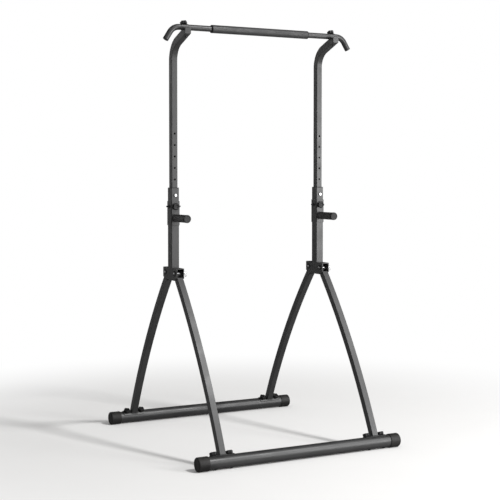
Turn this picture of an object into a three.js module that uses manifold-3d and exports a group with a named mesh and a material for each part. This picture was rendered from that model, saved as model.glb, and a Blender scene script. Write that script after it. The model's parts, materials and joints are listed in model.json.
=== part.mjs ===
// Folding dip station with a pull-up bar, in millimetres, +Z up.
// The origin lies on the floor under the middle of the station. The bar and both
// base beams run along X, the dip handles point forward along -Y.
import * as THREE from 'three';
import { mergeVertices } from 'three/addons/utils/BufferGeometryUtils.js';
import Module from 'manifold-3d';

const wasm = await Module();
wasm.setup();

// Overall layout
const beamLength = 1090;
const runClear = 0.3;
const overrun = 6;

// Base beams with their bolts and rubber caps
const beamRadius = 30;
const beamWall = 2;
const capWall = 3.6;
const capEnd = 5;
const capLength = 56;
const capRim = 7;
const capFlat = 0.4;
const boltRadius = 4;
const boltHeadRadius = 8;
const boltHeadHeight = 3.5;

// Bowed legs, their saddles on the beams and their ears on the hinge pins
const legPlay = 0.4;
const legDepth = 34.5;
const legWall = 2;
const legCorner = 1.8;
const legTilt = THREE.MathUtils.degToRad(24.4);
const legSweep = THREE.MathUtils.degToRad(15.2);
const legBowRadius = 3456;
const knobToLeg = 7;
const saddleMargin = 19;
const saddleToCap = 16.8;
const saddleThickness = 3.2;
const saddleArc = THREE.MathUtils.degToRad(40);
const earThickness = 2;
const earRadius = 12;
const earTail = 40;
const pinPastLeg = 30.69;
const pinOutset = 11.85;

// Lower posts with the brackets that hold the legs
const lowerWidth = 40;
const lowerDepth = 50;
const lowerWall = 2;
const lowerCorner = 1.8;
const bracketDrop = 37;
const bracketRise = 25;
const postReach = 397;
const bracketReach = 61;
const bracketChamfer = 14;
const bracketSide = 3.6;
const pinRadius = 5;
const pinForward = 57;
const pinCollarRadius = 14;
const pinCollarThickness = 1.2;
const pinStub = 3.3;
const pinTail = 26;
const ringInset = 6;
const ringRadius = 9;
const ringWire = 1.2;
const ringHoleRadius = 2.6;
const collarFlange = 3;
const collarDepth = 60;
const collarSideWall = 2.4;
const collarFaceWall = 3.9;

// Upper posts that slide in the lower ones and bend forward under the bar
const upperWall = 2;
const upperCorner = 1.5;
const upperOverlap = 148;
const upperShow = 634;
const upperBendRadius = 97;
const upperBendAngle = THREE.MathUtils.degToRad(70);
const upperNose = 184;
const stopThickness = 3;
const stopRise = 8.4;
const heightHoleRadius = 5;
const heightHolePitch = 57;
const heightHoleRise = 44;
const heightHoleCount = 5;
const lockPinDrop = 35.6;
const lockPinRadius = 4.5;
const lockHeadRadius = 7.5;
const lockHeadHeight = 5;

// Pull-up bar and its grip
const barRadius = 14.3;
const barWall = 2;
const barForward = 137.6;
const barSeatSink = 1.9;
const barBendRadius = 56;
const barBendAngle = THREE.MathUtils.degToRad(58);
const barTip = 42.5;
const padThickness = 1.6;
const padLength = 40;
const padToBend = 8.5;
const padArc = THREE.MathUtils.degToRad(110);
const barCapFlange = 2;
const barCapDepth = 14;
const gripFoam = 5.7;
const gripInset = 143.5;
const gripRim = 3;

// Dip handles on their sliding sleeves
const sleeveGap = 0.5;
const sleeveWall = 2.5;
const sleeveDrop = 64;
const sleeveFoot = 17.2;
const handleRadius = 14;
const handleWall = 2;
const handleReach = 171;
const handleFoam = 5.3;
const gripToSleeve = 3;
const gripToKnob = 20.2;
const handleCapLip = 0.7;
const handleCapFlange = 9;
const handleCapDepth = 16;
const sleeveKnobDrop = 27;
const sideScrewRadius = 4;
const sideScrewFlange = 6.5;
const sideScrewFlangeHeight = 4;
const sideScrewStub = 10.7;

// Star knobs
const knobRadius = 18;
const knobLobeDepth = 2.6;
const knobHeight = 14;
const knobBevel = 2;
const knobBore = 10;
const knobLobes = 5;
const lobePoints = 5;
const studRadius = 4;
const studTip = 4;

// Facets round a full turn, and steps along each bend
const legSteps = 10;
const upperSteps = 8;
const barSteps = 6;
const beamFacets = 32;
const tubeFacets = 24;
const boreFacets = 12;
const ringFacets = 6;
const ringSteps = 20;
const cornerSegments = 1;
const eyeSegments = 8;
const saddleSegments = 4;

const fullTurn = 2 * Math.PI;
const quarterTurn = fullTurn / 4;
const xAxis = new THREE.Vector3(1, 0, 0);
const yAxis = new THREE.Vector3(0, 1, 0);

// Sizes across the legs, brackets and beams
const beamHeight = beamRadius + capWall - capFlat;
const saddleTop = beamRadius + runClear + saddleThickness;
const legWidth = lowerWidth - 2 * (bracketSide + legPlay);
const boltSpread = legWidth + 2 * (knobRadius + knobToLeg);
const saddleLength = boltSpread + 2 * saddleMargin;
const capOverlap = capLength - capEnd - runClear;
const postSpacing = beamLength - saddleLength - 2 * (capOverlap + saddleToCap);

// The leg's end and the hinge pin as the leg sees them: Z along its foot, Y inward, from the beam's axis
const legFoot = Math.sqrt(beamRadius ** 2 - (legDepth / 2) ** 2);
const legAlong = new THREE.Vector2(Math.sin(legSweep), Math.cos(legSweep));
const legAcross = new THREE.Vector2(legAlong.y, -legAlong.x);
const legEnd = new THREE.Vector2(1 - Math.cos(legSweep), Math.sin(legSweep))
  .multiplyScalar(legBowRadius)
  .add(new THREE.Vector2(0, legFoot));
const pinFromBeam = legEnd.clone()
  .addScaledVector(legAlong, pinPastLeg)
  .addScaledVector(legAcross, -pinOutset);
const pinUpright = pinFromBeam.clone().rotateAround(new THREE.Vector2(), -legTilt);
const pinHeight = beamHeight + pinUpright.y;
const beamSpacing = 2 * (pinForward + pinUpright.x);

// Grips over their tubes
const gripRadius = barRadius + gripFoam;
const handleGripRadius = handleRadius + handleFoam;
const handleCapRadius = handleGripRadius + handleCapLip;

// Heights up the posts
const lowerBottom = pinHeight - bracketDrop;
const bracketTop = pinHeight + bracketRise;
const lowerTop = bracketTop + postReach;
const lockPinHeight = lowerTop - lockPinDrop;
const sleeveTop = lowerTop - sleeveDrop;
const sleeveKnobHeight = sleeveTop - sleeveKnobDrop;
const handleHeight = sleeveKnobHeight - knobRadius - gripToKnob - handleGripRadius;
const sleeveBottom = handleHeight - handleGripRadius - sleeveFoot;
const upperBottom = lowerTop - upperOverlap;
const upperBendStart = lowerTop + upperShow;

// The upper post's section fills the collar, and the bar lies on its bent arm
const upperWidth = lowerWidth - 2 * (lowerWall + 2 * runClear + collarSideWall);
const upperDepth = lowerDepth - 2 * (lowerWall + 2 * runClear + collarFaceWall);
const armLean = quarterTurn - upperBendAngle;
const bendForward = upperBendRadius * (1 - Math.cos(upperBendAngle));
const armHeight = upperBendStart + upperBendRadius * Math.sin(upperBendAngle)
  + (barForward - bendForward) * Math.tan(armLean);
const seatHeight = armHeight + upperDepth / 2 / Math.cos(armLean) - barSeatSink;
const barHeight = seatHeight + runClear + barRadius;
const barStraight = postSpacing + padLength + 2 * padToBend;
const gripLength = postSpacing - 2 * gripInset;

// Materials
const finish = (color, roughness, metalness) =>
  new THREE.MeshStandardMaterial({ color, roughness, metalness });
const paint = finish(0x3c3c3e, 0.42, 0.35);
const rubber = finish(0x2a2827, 0.8, 0);
const plastic = finish(0x161617, 0.5, 0);
const foam = finish(0x303031, 0.9, 0);
const chrome = finish(0xd2d3d5, 0.18, 1);
const zinc = finish(0x27272a, 0.4, 0.8);

// Solids and meshes

// A closed solid of a geometry, with its shared corners merged and flat triangles dropped
function solidOf(geometry) {
  const bare = geometry.clone();
  bare.deleteAttribute('normal');
  bare.deleteAttribute('uv');
  const merged = mergeVertices(bare);
  const corners = merged.index.array;
  const triVerts = [];
  for (let i = 0; i < corners.length; i += 3) {
    const [a, b, c] = corners.slice(i, i + 3);
    if (a !== b && b !== c && c !== a) triVerts.push(a, b, c);
  }
  const vertProperties = Float32Array.from(merged.attributes.position.array);
  return new wasm.Manifold(
    new wasm.Mesh({ numProp: 3, vertProperties, triVerts: Uint32Array.from(triVerts) }),
  );
}

function meshOf(name, solid, material) {
  const { vertProperties, triVerts } = solid.getMesh();
  const geometry = new THREE.BufferGeometry();
  geometry.setAttribute('position', new THREE.BufferAttribute(vertProperties, 3));
  geometry.setIndex(new THREE.BufferAttribute(triVerts, 1));
  geometry.computeVertexNormals();
  const mesh = new THREE.Mesh(geometry, material);
  mesh.name = name;
  return mesh;
}

function boxSolid(low, high) {
  const size = new THREE.Vector3().subVectors(high, low);
  const middle = new THREE.Vector3().addVectors(low, high).divideScalar(2);
  const geometry = new THREE.BoxGeometry(size.x, size.y, size.z);
  return solidOf(geometry.translate(middle.x, middle.y, middle.z));
}

// A round rod from one height to another on the Z axis
function rod(radius, low, high, facets = boreFacets) {
  const geometry = new THREE.CylinderGeometry(radius, radius, high - low, facets);
  return solidOf(geometry.rotateX(quarterTurn).translate(0, 0, (low + high) / 2));
}

// A profile of radius and height pairs turned about the Z axis
function turned(profile, facets) {
  const points = profile.map(([radius, height]) => new THREE.Vector2(radius, height));
  return solidOf(new THREE.LatheGeometry(points, facets).rotateX(quarterTurn));
}

const alongX = (solid) => solid.rotate([0, 90, 0]);
const alongForward = (solid) => solid.rotate([90, 0, 0]);

// A rectangle with rounded corners, round the origin
function roundedRectangle(outline, width, depth, corner) {
  const [x, y] = [width / 2 - corner, depth / 2 - corner];
  outline.absarc(x, y, corner, 0, quarterTurn);
  outline.absarc(-x, y, corner, quarterTurn, 2 * quarterTurn);
  outline.absarc(-x, -y, corner, 2 * quarterTurn, 3 * quarterTurn);
  outline.absarc(x, -y, corner, 3 * quarterTurn, fullTurn);
  outline.closePath();
  return outline;
}

function rectangle(outline, width, depth) {
  const [x, y] = [width / 2, depth / 2];
  outline.moveTo(x, y);
  outline.lineTo(-x, y);
  outline.lineTo(-x, -y);
  outline.lineTo(x, -y);
  outline.closePath();
  return outline;
}

// A path through given stations, each taken as one step, with the section's X along the across vector
class StationPath extends THREE.Curve {
  constructor(stations, across) {
    super();
    this.stations = stations;
    this.across = across;
  }

  getPoint(share) {
    const place = share * (this.stations.length - 1);
    const index = Math.min(Math.floor(place), this.stations.length - 2);
    return this.stations[index].clone().lerp(this.stations[index + 1], place - index);
  }

  getPointAt(share) {
    return this.getPoint(share);
  }

  getTangentAt(share) {
    const index = Math.round(share * (this.stations.length - 1));
    const before = this.stations[Math.max(index - 1, 0)];
    const after = this.stations[Math.min(index + 1, this.stations.length - 1)];
    return after.clone().sub(before).normalize();
  }

  computeFrenetFrames() {
    const last = this.stations.length - 1;
    const tangents = this.stations.map((_, i) => this.getTangentAt(i / last));
    const normals = tangents.map(() => this.across);
    const binormals = tangents.map((tangent) => tangent.clone().cross(this.across));
    return { tangents, normals, binormals };
  }
}

function swept(section, stations, across, curveSegments) {
  const extrudePath = new StationPath(stations, across);
  const options = { steps: stations.length - 1, bevelEnabled: false, curveSegments, extrudePath };
  return solidOf(new THREE.ExtrudeGeometry(section, options));
}

// Points along an arc that starts at a place with a heading and turns towards the turn vector
function arcStations(start, heading, turn, radius, angle, steps) {
  return Array.from({ length: steps + 1 }, (_, i) => {
    const swing = (angle * i) / steps;
    return start.clone()
      .addScaledVector(heading, radius * Math.sin(swing))
      .addScaledVector(turn, radius * (1 - Math.cos(swing)));
  });
}

// A shape drawn in the Y-Z plane, with a thickness along X that starts at the given place
function sideShape(shape, start, thickness, curveSegments) {
  const geometry = new THREE.ExtrudeGeometry(shape, {
    depth: thickness, bevelEnabled: false, curveSegments,
  });
  const axes = new THREE.Matrix4().makeBasis(
    new THREE.Vector3(0, 1, 0), new THREE.Vector3(0, 0, 1), new THREE.Vector3(1, 0, 0),
  );
  return solidOf(geometry.applyMatrix4(axes).translate(start, 0, 0));
}

// A straight tube that stands on the Z axis
function uprightTube(width, depth, corner, wall, bottom, top) {
  const section = roundedRectangle(new THREE.Shape(), width, depth, corner);
  section.holes.push(rectangle(new THREE.Path(), width - 2 * wall, depth - 2 * wall));
  const options = { depth: top - bottom, bevelEnabled: false, curveSegments: cornerSegments };
  return solidOf(new THREE.ExtrudeGeometry(section, options).translate(0, 0, bottom));
}

// Star knobs

function starBody() {
  const outline = new THREE.Shape();
  const count = knobLobes * lobePoints;
  const middleRadius = knobRadius - knobBevel - knobLobeDepth / 2;
  for (let i = 0; i < count; i += 1) {
    const angle = (fullTurn * i) / count;
    const radius = middleRadius + (knobLobeDepth / 2) * Math.cos(knobLobes * angle);
    const point = [radius * Math.cos(angle), radius * Math.sin(angle)];
    if (i === 0) outline.moveTo(...point);
    else outline.lineTo(...point);
  }
  outline.closePath();
  const options = {
    depth: knobHeight - 2 * knobBevel, bevelThickness: knobBevel, bevelSize: knobBevel, bevelSegments: 1,
  };
  return solidOf(new THREE.ExtrudeGeometry(outline, options).translate(0, 0, knobBevel));
}

const boredKnob = () => starBody().subtract(rod(boltRadius + 2 * runClear, -overrun, knobBore));
const studKnob = (studLength) => starBody().add(rod(studRadius, -studLength, knobBevel));

// Base beams, caps and foot hardware

function baseBeam() {
  const half = beamLength / 2;
  const tube = rod(beamRadius, -half, half, beamFacets)
    .subtract(rod(beamRadius - beamWall, -half - overrun, half + overrun, tubeFacets));
  let beam = alongX(tube);
  for (const side of [-1, 1]) {
    for (const bolt of [-1, 1]) {
      const x = (side * postSpacing + bolt * boltSpread) / 2;
      const reach = beamRadius + overrun;
      const hole = rod(boltRadius + runClear, -reach, reach)
        .rotate([-THREE.MathUtils.radToDeg(legTilt), 0, 0])
        .translate([x, 0, 0]);
      beam = beam.subtract(hole);
    }
  }
  return beam;
}

// A rubber cup that points along +Z, with its mouth at the bottom and a flat under it
function beamCap() {
  const outer = beamRadius + capWall;
  const inner = beamRadius + runClear;
  const top = capLength;
  const bend = (angle) => [
    outer - capRim + capRim * Math.cos(angle), top - capRim + capRim * Math.sin(angle),
  ];
  const cup = turned([
    [inner, 0], [outer, 0], bend(0), bend(quarterTurn / 3), bend((2 * quarterTurn) / 3),
    bend(quarterTurn), [0, top], [0, top - capEnd], [inner, top - capEnd], [inner, 0],
  ], beamFacets);
  const below = boxSolid(
    new THREE.Vector3(-outer, -outer, -overrun),
    new THREE.Vector3(-beamHeight, outer, top + overrun),
  );
  return cup.subtract(below.rotate([0, 0, 180]));
}

function footBolt() {
  const head = -beamRadius - runClear;
  const end = saddleTop + runClear + knobBore - overrun / 2;
  const dome = turned([
    [0, head], [boltHeadRadius, head], [boltHeadRadius, head - boltHeadHeight / 3],
    [boltHeadRadius / 2, head - boltHeadHeight], [0, head - boltHeadHeight],
  ].reverse(), tubeFacets / 2);
  return dome.add(rod(boltRadius, head - boltHeadHeight / 3, end));
}

// Legs

// A curved plate's section round the origin, its middle on +Y
function curvedPlate(inner, outer, halfArc) {
  const shape = new THREE.Shape();
  shape.absarc(0, 0, outer, quarterTurn - halfArc, quarterTurn + halfArc);
  shape.absarc(0, 0, inner, quarterTurn + halfArc, quarterTurn - halfArc, true);
  shape.closePath();
  return shape;
}

// One leg with its saddle and ears, standing on the beam's axis with its foot along +Z
function leg() {
  const up = new THREE.Vector3(0, 0, 1);
  const inward = new THREE.Vector3(0, 1, 0);
  const start = new THREE.Vector3(0, 0, legFoot);
  const stations = arcStations(start, up, inward, legBowRadius, legSweep, legSteps);
  const section = roundedRectangle(new THREE.Shape(), legWidth, legDepth, legCorner);
  section.holes.push(rectangle(new THREE.Path(), legWidth - 2 * legWall, legDepth - 2 * legWall));
  let solid = swept(section, stations, xAxis, cornerSegments);

  const at = (side, down) => legEnd.clone()
    .addScaledVector(legAcross, side * (legDepth / 2 - legCorner))
    .addScaledVector(legAlong, -down);
  const ear = new THREE.Shape();
  const heading = Math.atan2(legAlong.y, legAlong.x);
  ear.moveTo(...at(1, earTail));
  ear.lineTo(...at(1, 0));
  ear.absarc(...pinFromBeam, earRadius, heading - quarterTurn, heading + quarterTurn);
  ear.lineTo(...at(-1, 0));
  ear.lineTo(...at(-1, earTail));
  ear.closePath();
  const eye = new THREE.Path();
  eye.absarc(...pinFromBeam, pinRadius + runClear, 0, fullTurn, true);
  ear.holes.push(eye);
  for (const start of [-legWidth / 2, legWidth / 2 - earThickness]) {
    solid = solid.add(sideShape(ear, start, earThickness, eyeSegments));
  }

  const plate = curvedPlate(beamRadius + runClear, saddleTop, saddleArc);
  let saddle = sideShape(plate, -saddleLength / 2, saddleLength, saddleSegments);
  for (const side of [-1, 1]) {
    const hole = rod(boltRadius + runClear, 0, saddleTop + overrun);
    saddle = saddle.subtract(hole.translate([(side * boltSpread) / 2, 0, 0]));
  }
  const beamRoom = alongX(rod(beamRadius + runClear, -legWidth, legWidth, beamFacets));
  return solid.subtract(beamRoom).add(saddle);
}

// Lower posts

// The bracket's cheek on the front: a plate from the post's face to the outer edge
function cheekShape() {
  const back = -lowerDepth / 2 + lowerCorner;
  const front = -lowerDepth / 2 - bracketReach;
  const shape = new THREE.Shape();
  shape.moveTo(back, lowerBottom);
  shape.lineTo(back, bracketTop);
  shape.lineTo(front, bracketTop);
  shape.lineTo(front, lowerBottom + bracketChamfer);
  shape.lineTo(front + 2 * bracketChamfer, lowerBottom);
  shape.closePath();
  const eye = new THREE.Path();
  eye.absarc(-pinForward, pinHeight, pinRadius + runClear, 0, fullTurn, true);
  shape.holes.push(eye);
  return shape;
}

function lowerPost() {
  let post = uprightTube(lowerWidth, lowerDepth, lowerCorner, lowerWall, lowerBottom, lowerTop);
  const half = lowerWidth / 2;
  const face = lowerDepth / 2;
  for (const start of [-half, half - bracketSide]) {
    const cheek = sideShape(cheekShape(), start, bracketSide, eyeSegments);
    post = post.add(cheek).add(cheek.rotate([0, 0, 180]));
  }
  const lockHole = alongForward(rod(lockPinRadius + runClear, face / 2, face + overrun))
    .translate([0, 0, lockPinHeight]);
  return post.subtract(lockHole);
}

// The plastic collar in the lower post's mouth, which guides the upper post
function postCollar() {
  const wide = (inset) => [lowerWidth - 2 * inset, lowerDepth - 2 * inset];
  const insert = lowerWall + runClear;
  const section = roundedRectangle(new THREE.Shape(), ...wide(insert), upperCorner / 2);
  const bore = rectangle(new THREE.Path(), upperWidth + 2 * runClear, upperDepth + 2 * runClear);
  section.holes.push(bore);
  const options = { depth: collarDepth + collarFlange, bevelEnabled: false, curveSegments: cornerSegments };
  const tube = solidOf(new THREE.ExtrudeGeometry(section, options)
    .translate(0, 0, lowerTop - collarDepth));
  const rim = roundedRectangle(new THREE.Shape(), ...wide(0), lowerCorner);
  rim.holes.push(bore);
  const rimOptions = { ...options, depth: collarFlange - runClear };
  const flange = solidOf(new THREE.ExtrudeGeometry(rim, rimOptions).translate(0, 0, lowerTop + runClear));
  const pinRoom = alongForward(rod(lockPinRadius + 2 * runClear, 0, lowerDepth))
    .translate([0, 0, lockPinHeight]);
  return tube.add(flange).subtract(pinRoom);
}

// The bright pin that locks the upper post, seen as a round head on the post's front face
function lockPin() {
  const face = lowerDepth / 2 + runClear;
  const nose = upperDepth / 2 + runClear;
  const head = face + lockHeadHeight;
  return alongForward(turned([
    [0, nose], [lockPinRadius, nose], [lockPinRadius, face], [lockHeadRadius, face],
    [lockHeadRadius, face + lockHeadHeight / 3], [lockHeadRadius / 2, head], [0, head],
  ], tubeFacets / 2));
}

// A hinge pin along X: a collar outside the first cheek and a tail with a cross hole past the other
function hingePin() {
  const half = lowerWidth / 2 + runClear;
  const tail = half + pinTail;
  const collar = -half - pinCollarThickness;
  const shank = turned([
    [0, collar - pinStub], [pinRadius, collar - pinStub], [pinRadius, collar],
    [pinCollarRadius, collar], [pinCollarRadius, -half], [pinRadius, -half], [pinRadius, tail],
    [0, tail],
  ], tubeFacets / 2);
  const hole = alongForward(rod(ringHoleRadius, -pinRadius - overrun, pinRadius + overrun))
    .translate([tail - ringInset, 0, 0]);
  return alongX(shank).subtract(hole);
}

// A wire ring in the Y-Z plane that hangs in the pin's cross hole
function pinRing() {
  const torus = new THREE.TorusGeometry(ringRadius, ringWire, ringFacets, ringSteps);
  const drop = ringRadius - (ringHoleRadius - ringWire) + 1.5 * runClear;
  return solidOf(torus.rotateY(quarterTurn).translate(0, 0, -drop));
}

// Upper posts

const leanedWithArm = (solid) => solid.rotate([-THREE.MathUtils.radToDeg(armLean), 0, 0]);

function upperPath(end) {
  const up = new THREE.Vector3(0, 0, 1);
  const forward = new THREE.Vector3(0, -1, 0);
  const bend = arcStations(
    new THREE.Vector3(0, 0, upperBendStart), up, forward, upperBendRadius, upperBendAngle, upperSteps,
  );
  const heading = up.clone().multiplyScalar(Math.cos(upperBendAngle))
    .addScaledVector(forward, Math.sin(upperBendAngle));
  const last = bend[bend.length - 1];
  const stretch = (end + last.y) / heading.dot(forward);
  return [new THREE.Vector3(0, 0, upperBottom), ...bend, last.clone().addScaledVector(heading, stretch)];
}

// Everything in front of one place and above one height
function frontAbove(place, height) {
  return boxSolid(
    new THREE.Vector3(-upperWidth, -upperNose - 2 * upperDepth, height),
    new THREE.Vector3(upperWidth, -place, barHeight + upperDepth),
  );
}

function upperPost() {
  const outer = roundedRectangle(new THREE.Shape(), upperWidth, upperDepth, upperCorner);
  const bore = rectangle(new THREE.Shape(), upperWidth - 2 * upperWall, upperDepth - 2 * upperWall);
  const path = upperPath(upperNose + upperDepth);
  const inside = upperNose - stopThickness;
  const hollow = swept(bore, path, xAxis, cornerSegments)
    .subtract(frontAbove(inside, upperBendStart))
    .subtract(frontAbove(0, seatHeight - upperWall));
  const mouth = boxSolid(
    new THREE.Vector3(upperWall - upperWidth / 2, upperWall - upperDepth / 2, upperBottom - overrun),
    new THREE.Vector3(upperWidth / 2 - upperWall, upperDepth / 2 - upperWall, upperBottom + overrun),
  );
  const notch = frontAbove(0, seatHeight).subtract(frontAbove(inside, seatHeight));
  let post = swept(outer, path, xAxis, cornerSegments)
    .subtract(hollow)
    .subtract(mouth)
    .subtract(notch)
    .subtract(frontAbove(upperNose, upperBendStart))
    .subtract(frontAbove(0, seatHeight + stopRise));
  const studHole = leanedWithArm(rod(studRadius + runClear, -2 * upperDepth, 0))
    .translate([0, -barForward, barHeight]);
  post = post.subtract(studHole);
  const lowest = lowerTop + heightHoleRise;
  const heights = Array.from({ length: heightHoleCount }, (_, i) => lowest + i * heightHolePitch);
  for (const height of [...heights, lockPinHeight]) {
    post = post.subtract(alongForward(rod(heightHoleRadius, 0, upperDepth)).translate([0, 0, height]));
  }
  return post;
}

// Pull-up bar

function barStations() {
  const [right, down] = [new THREE.Vector3(1, 0, 0), new THREE.Vector3(0, 0, -1)];
  const bend = arcStations(
    new THREE.Vector3(barStraight / 2, 0, 0), right, down, barBendRadius, barBendAngle, barSteps,
  );
  const heading = right.clone().multiplyScalar(Math.cos(barBendAngle))
    .addScaledVector(down, Math.sin(barBendAngle));
  const tip = bend[bend.length - 1].clone().addScaledVector(heading, barTip);
  const half = [...bend, tip];
  const mirrored = half.map((point) => new THREE.Vector3(-point.x, 0, point.z)).reverse();
  return { stations: [...mirrored, ...half], tip, heading };
}

function pullUpBar() {
  const section = new THREE.Shape();
  section.absarc(0, 0, barRadius, 0, fullTurn);
  const bore = new THREE.Path();
  bore.absarc(0, 0, barRadius - barWall, 0, fullTurn, true);
  section.holes.push(bore);
  let bar = swept(section, barStations().stations, yAxis, tubeFacets / 2);
  const plate = curvedPlate(barRadius - barWall / 2, barRadius + padThickness, padArc);
  const pad = leanedWithArm(sideShape(plate, -padLength / 2, padLength, saddleSegments));
  const reach = barRadius + overrun;
  const hole = leanedWithArm(rod(studRadius + runClear, -reach, reach));
  for (const side of [-1, 1]) {
    const place = [(side * postSpacing) / 2, 0, 0];
    bar = bar.add(pad.translate(place)).subtract(hole.translate(place));
  }
  return bar;
}

function barCap() {
  const plug = barRadius - barWall - runClear;
  return turned([
    [0, -barCapDepth], [plug, -barCapDepth], [plug, runClear], [barRadius, runClear],
    [barRadius, barCapFlange / 2 + runClear], [barRadius - barCapFlange, barCapFlange + runClear],
    [0, barCapFlange + runClear],
  ], tubeFacets);
}

// A foam tube along the Z axis with rounded rims
function foamTube(outer, inner, low, high) {
  const inset = outer - gripRim;
  return turned([
    [inner, low], [inset, low], [outer, low + gripRim], [outer, high - gripRim], [inset, high],
    [inner, high], [inner, low],
  ], tubeFacets);
}

// Dip handles

const sleeveInnerWidth = lowerWidth + 2 * sleeveGap;
const sleeveInnerDepth = lowerDepth + 2 * sleeveGap;
const sleeveWidth = sleeveInnerWidth + 2 * sleeveWall;
const sleeveDepth = sleeveInnerDepth + 2 * sleeveWall;

function dipSleeve() {
  const bore = rectangle(new THREE.Path(), sleeveInnerWidth, sleeveInnerDepth);
  const section = roundedRectangle(new THREE.Shape(), sleeveWidth, sleeveDepth, lowerCorner + sleeveWall);
  section.holes.push(bore);
  const options = { depth: sleeveTop - sleeveBottom, bevelEnabled: false, curveSegments: cornerSegments };
  let sleeve = solidOf(new THREE.ExtrudeGeometry(section, options).translate(0, 0, sleeveBottom));
  const root = sleeveDepth / 2 - sleeveWall / 2;
  const end = handleReach - handleCapFlange - runClear;
  const tube = rod(handleRadius, root, end, tubeFacets)
    .subtract(rod(handleRadius - handleWall, sleeveDepth / 2, end + overrun, tubeFacets));
  sleeve = sleeve.add(alongForward(tube).translate([0, 0, handleHeight]));
  const knobHole = alongForward(rod(studRadius + runClear, sleeveInnerDepth / 2 - overrun, sleeveDepth))
    .translate([0, 0, sleeveKnobHeight]);
  const screwHole = alongX(rod(sideScrewRadius + runClear, -sleeveWidth, sleeveWidth))
    .translate([0, 0, sleeveKnobHeight]);
  return sleeve.subtract(knobHole).subtract(screwHole);
}

function handleCap() {
  const inner = handleRadius - handleWall - runClear;
  const face = handleReach - handleCapFlange;
  const rim = handleCapFlange / 3;
  return turned([
    [0, face - handleCapDepth], [inner, face - handleCapDepth], [inner, face], [handleCapRadius, face],
    [handleCapRadius, handleReach - rim], [handleCapRadius - rim, handleReach], [0, handleReach],
  ], tubeFacets);
}

// A short screw in the sleeve's side, pointing along +Z from the post's middle
function sideScrew() {
  const tip = lowerWidth / 2 + runClear;
  const seat = sleeveWidth / 2 + runClear;
  const shoulder = seat + sideScrewFlangeHeight;
  return turned([
    [0, tip], [sideScrewRadius, tip], [sideScrewRadius, seat], [sideScrewFlange, seat],
    [sideScrewFlange, shoulder], [sideScrewRadius, shoulder],
    [sideScrewRadius, shoulder + sideScrewStub], [0, shoulder + sideScrewStub],
  ], boreFacets);
}

// Assembly

const station = new THREE.Group();

function group(parent, x, y, z) {
  const child = new THREE.Group();
  child.position.set(x, y, z);
  parent.add(child);
  return child;
}

const sides = [['left', -1], ['right', 1]];
const solids = {
  beam: baseBeam(), cap: beamCap(), bolt: footBolt(), leg: leg(), knob: boredKnob(),
  lower: lowerPost(), collar: postCollar(), lockPin: lockPin(), pin: hingePin(), ring: pinRing(),
  upper: upperPost(), sleeve: dipSleeve(), handleCap: handleCap(), screw: sideScrew(),
  handleGrip: foamTube(
    handleGripRadius, handleRadius + runClear, sleeveDepth / 2 + gripToSleeve,
    handleReach - handleCapFlange - runClear,
  ),
};

// The rear frame is the front one turned half round, so its sides swap
for (const [end, flip] of [['front', 1], ['rear', -1]]) {
  const frame = group(station, 0, 0, 0);
  frame.rotation.z = flip > 0 ? 0 : fullTurn / 2;
  const beamLine = group(frame, 0, -beamSpacing / 2, beamHeight);
  beamLine.add(meshOf(`base_beam_${end}`, solids.beam, paint));
  for (const [side, sign] of sides) {
    const x = (sign * flip * postSpacing) / 2;
    const cap = meshOf(`beam_cap_${end}_${side}`, solids.cap, rubber);
    cap.position.x = sign * flip * (beamLength / 2 + capEnd + runClear - capLength);
    cap.rotation.set(0, sign * flip * quarterTurn, sign * flip > 0 ? 0 : fullTurn / 2);
    beamLine.add(cap);

    const foot = group(beamLine, x, 0, 0);
    foot.rotation.x = -legTilt;
    foot.add(meshOf(`leg_${end}_${side}`, solids.leg, paint));
    for (const [place, bolt] of [['outer', sign * flip], ['inner', -sign * flip]]) {
      const boltMesh = meshOf(`foot_bolt_${end}_${side}_${place}`, solids.bolt, zinc);
      boltMesh.position.x = (bolt * boltSpread) / 2;
      foot.add(boltMesh);
      const knob = meshOf(`foot_knob_${end}_${side}_${place}`, solids.knob, plastic);
      knob.position.set((bolt * boltSpread) / 2, 0, saddleTop + runClear);
      foot.add(knob);
    }

    const hinge = group(station, (sign * postSpacing) / 2, -flip * pinForward, pinHeight);
    hinge.add(meshOf(`hinge_pin_${end}_${side}`, solids.pin, chrome));
    const ring = meshOf(`pin_ring_${end}_${side}`, solids.ring, chrome);
    ring.position.x = lowerWidth / 2 + runClear + pinTail - ringInset;
    hinge.add(ring);
  }
}

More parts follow.
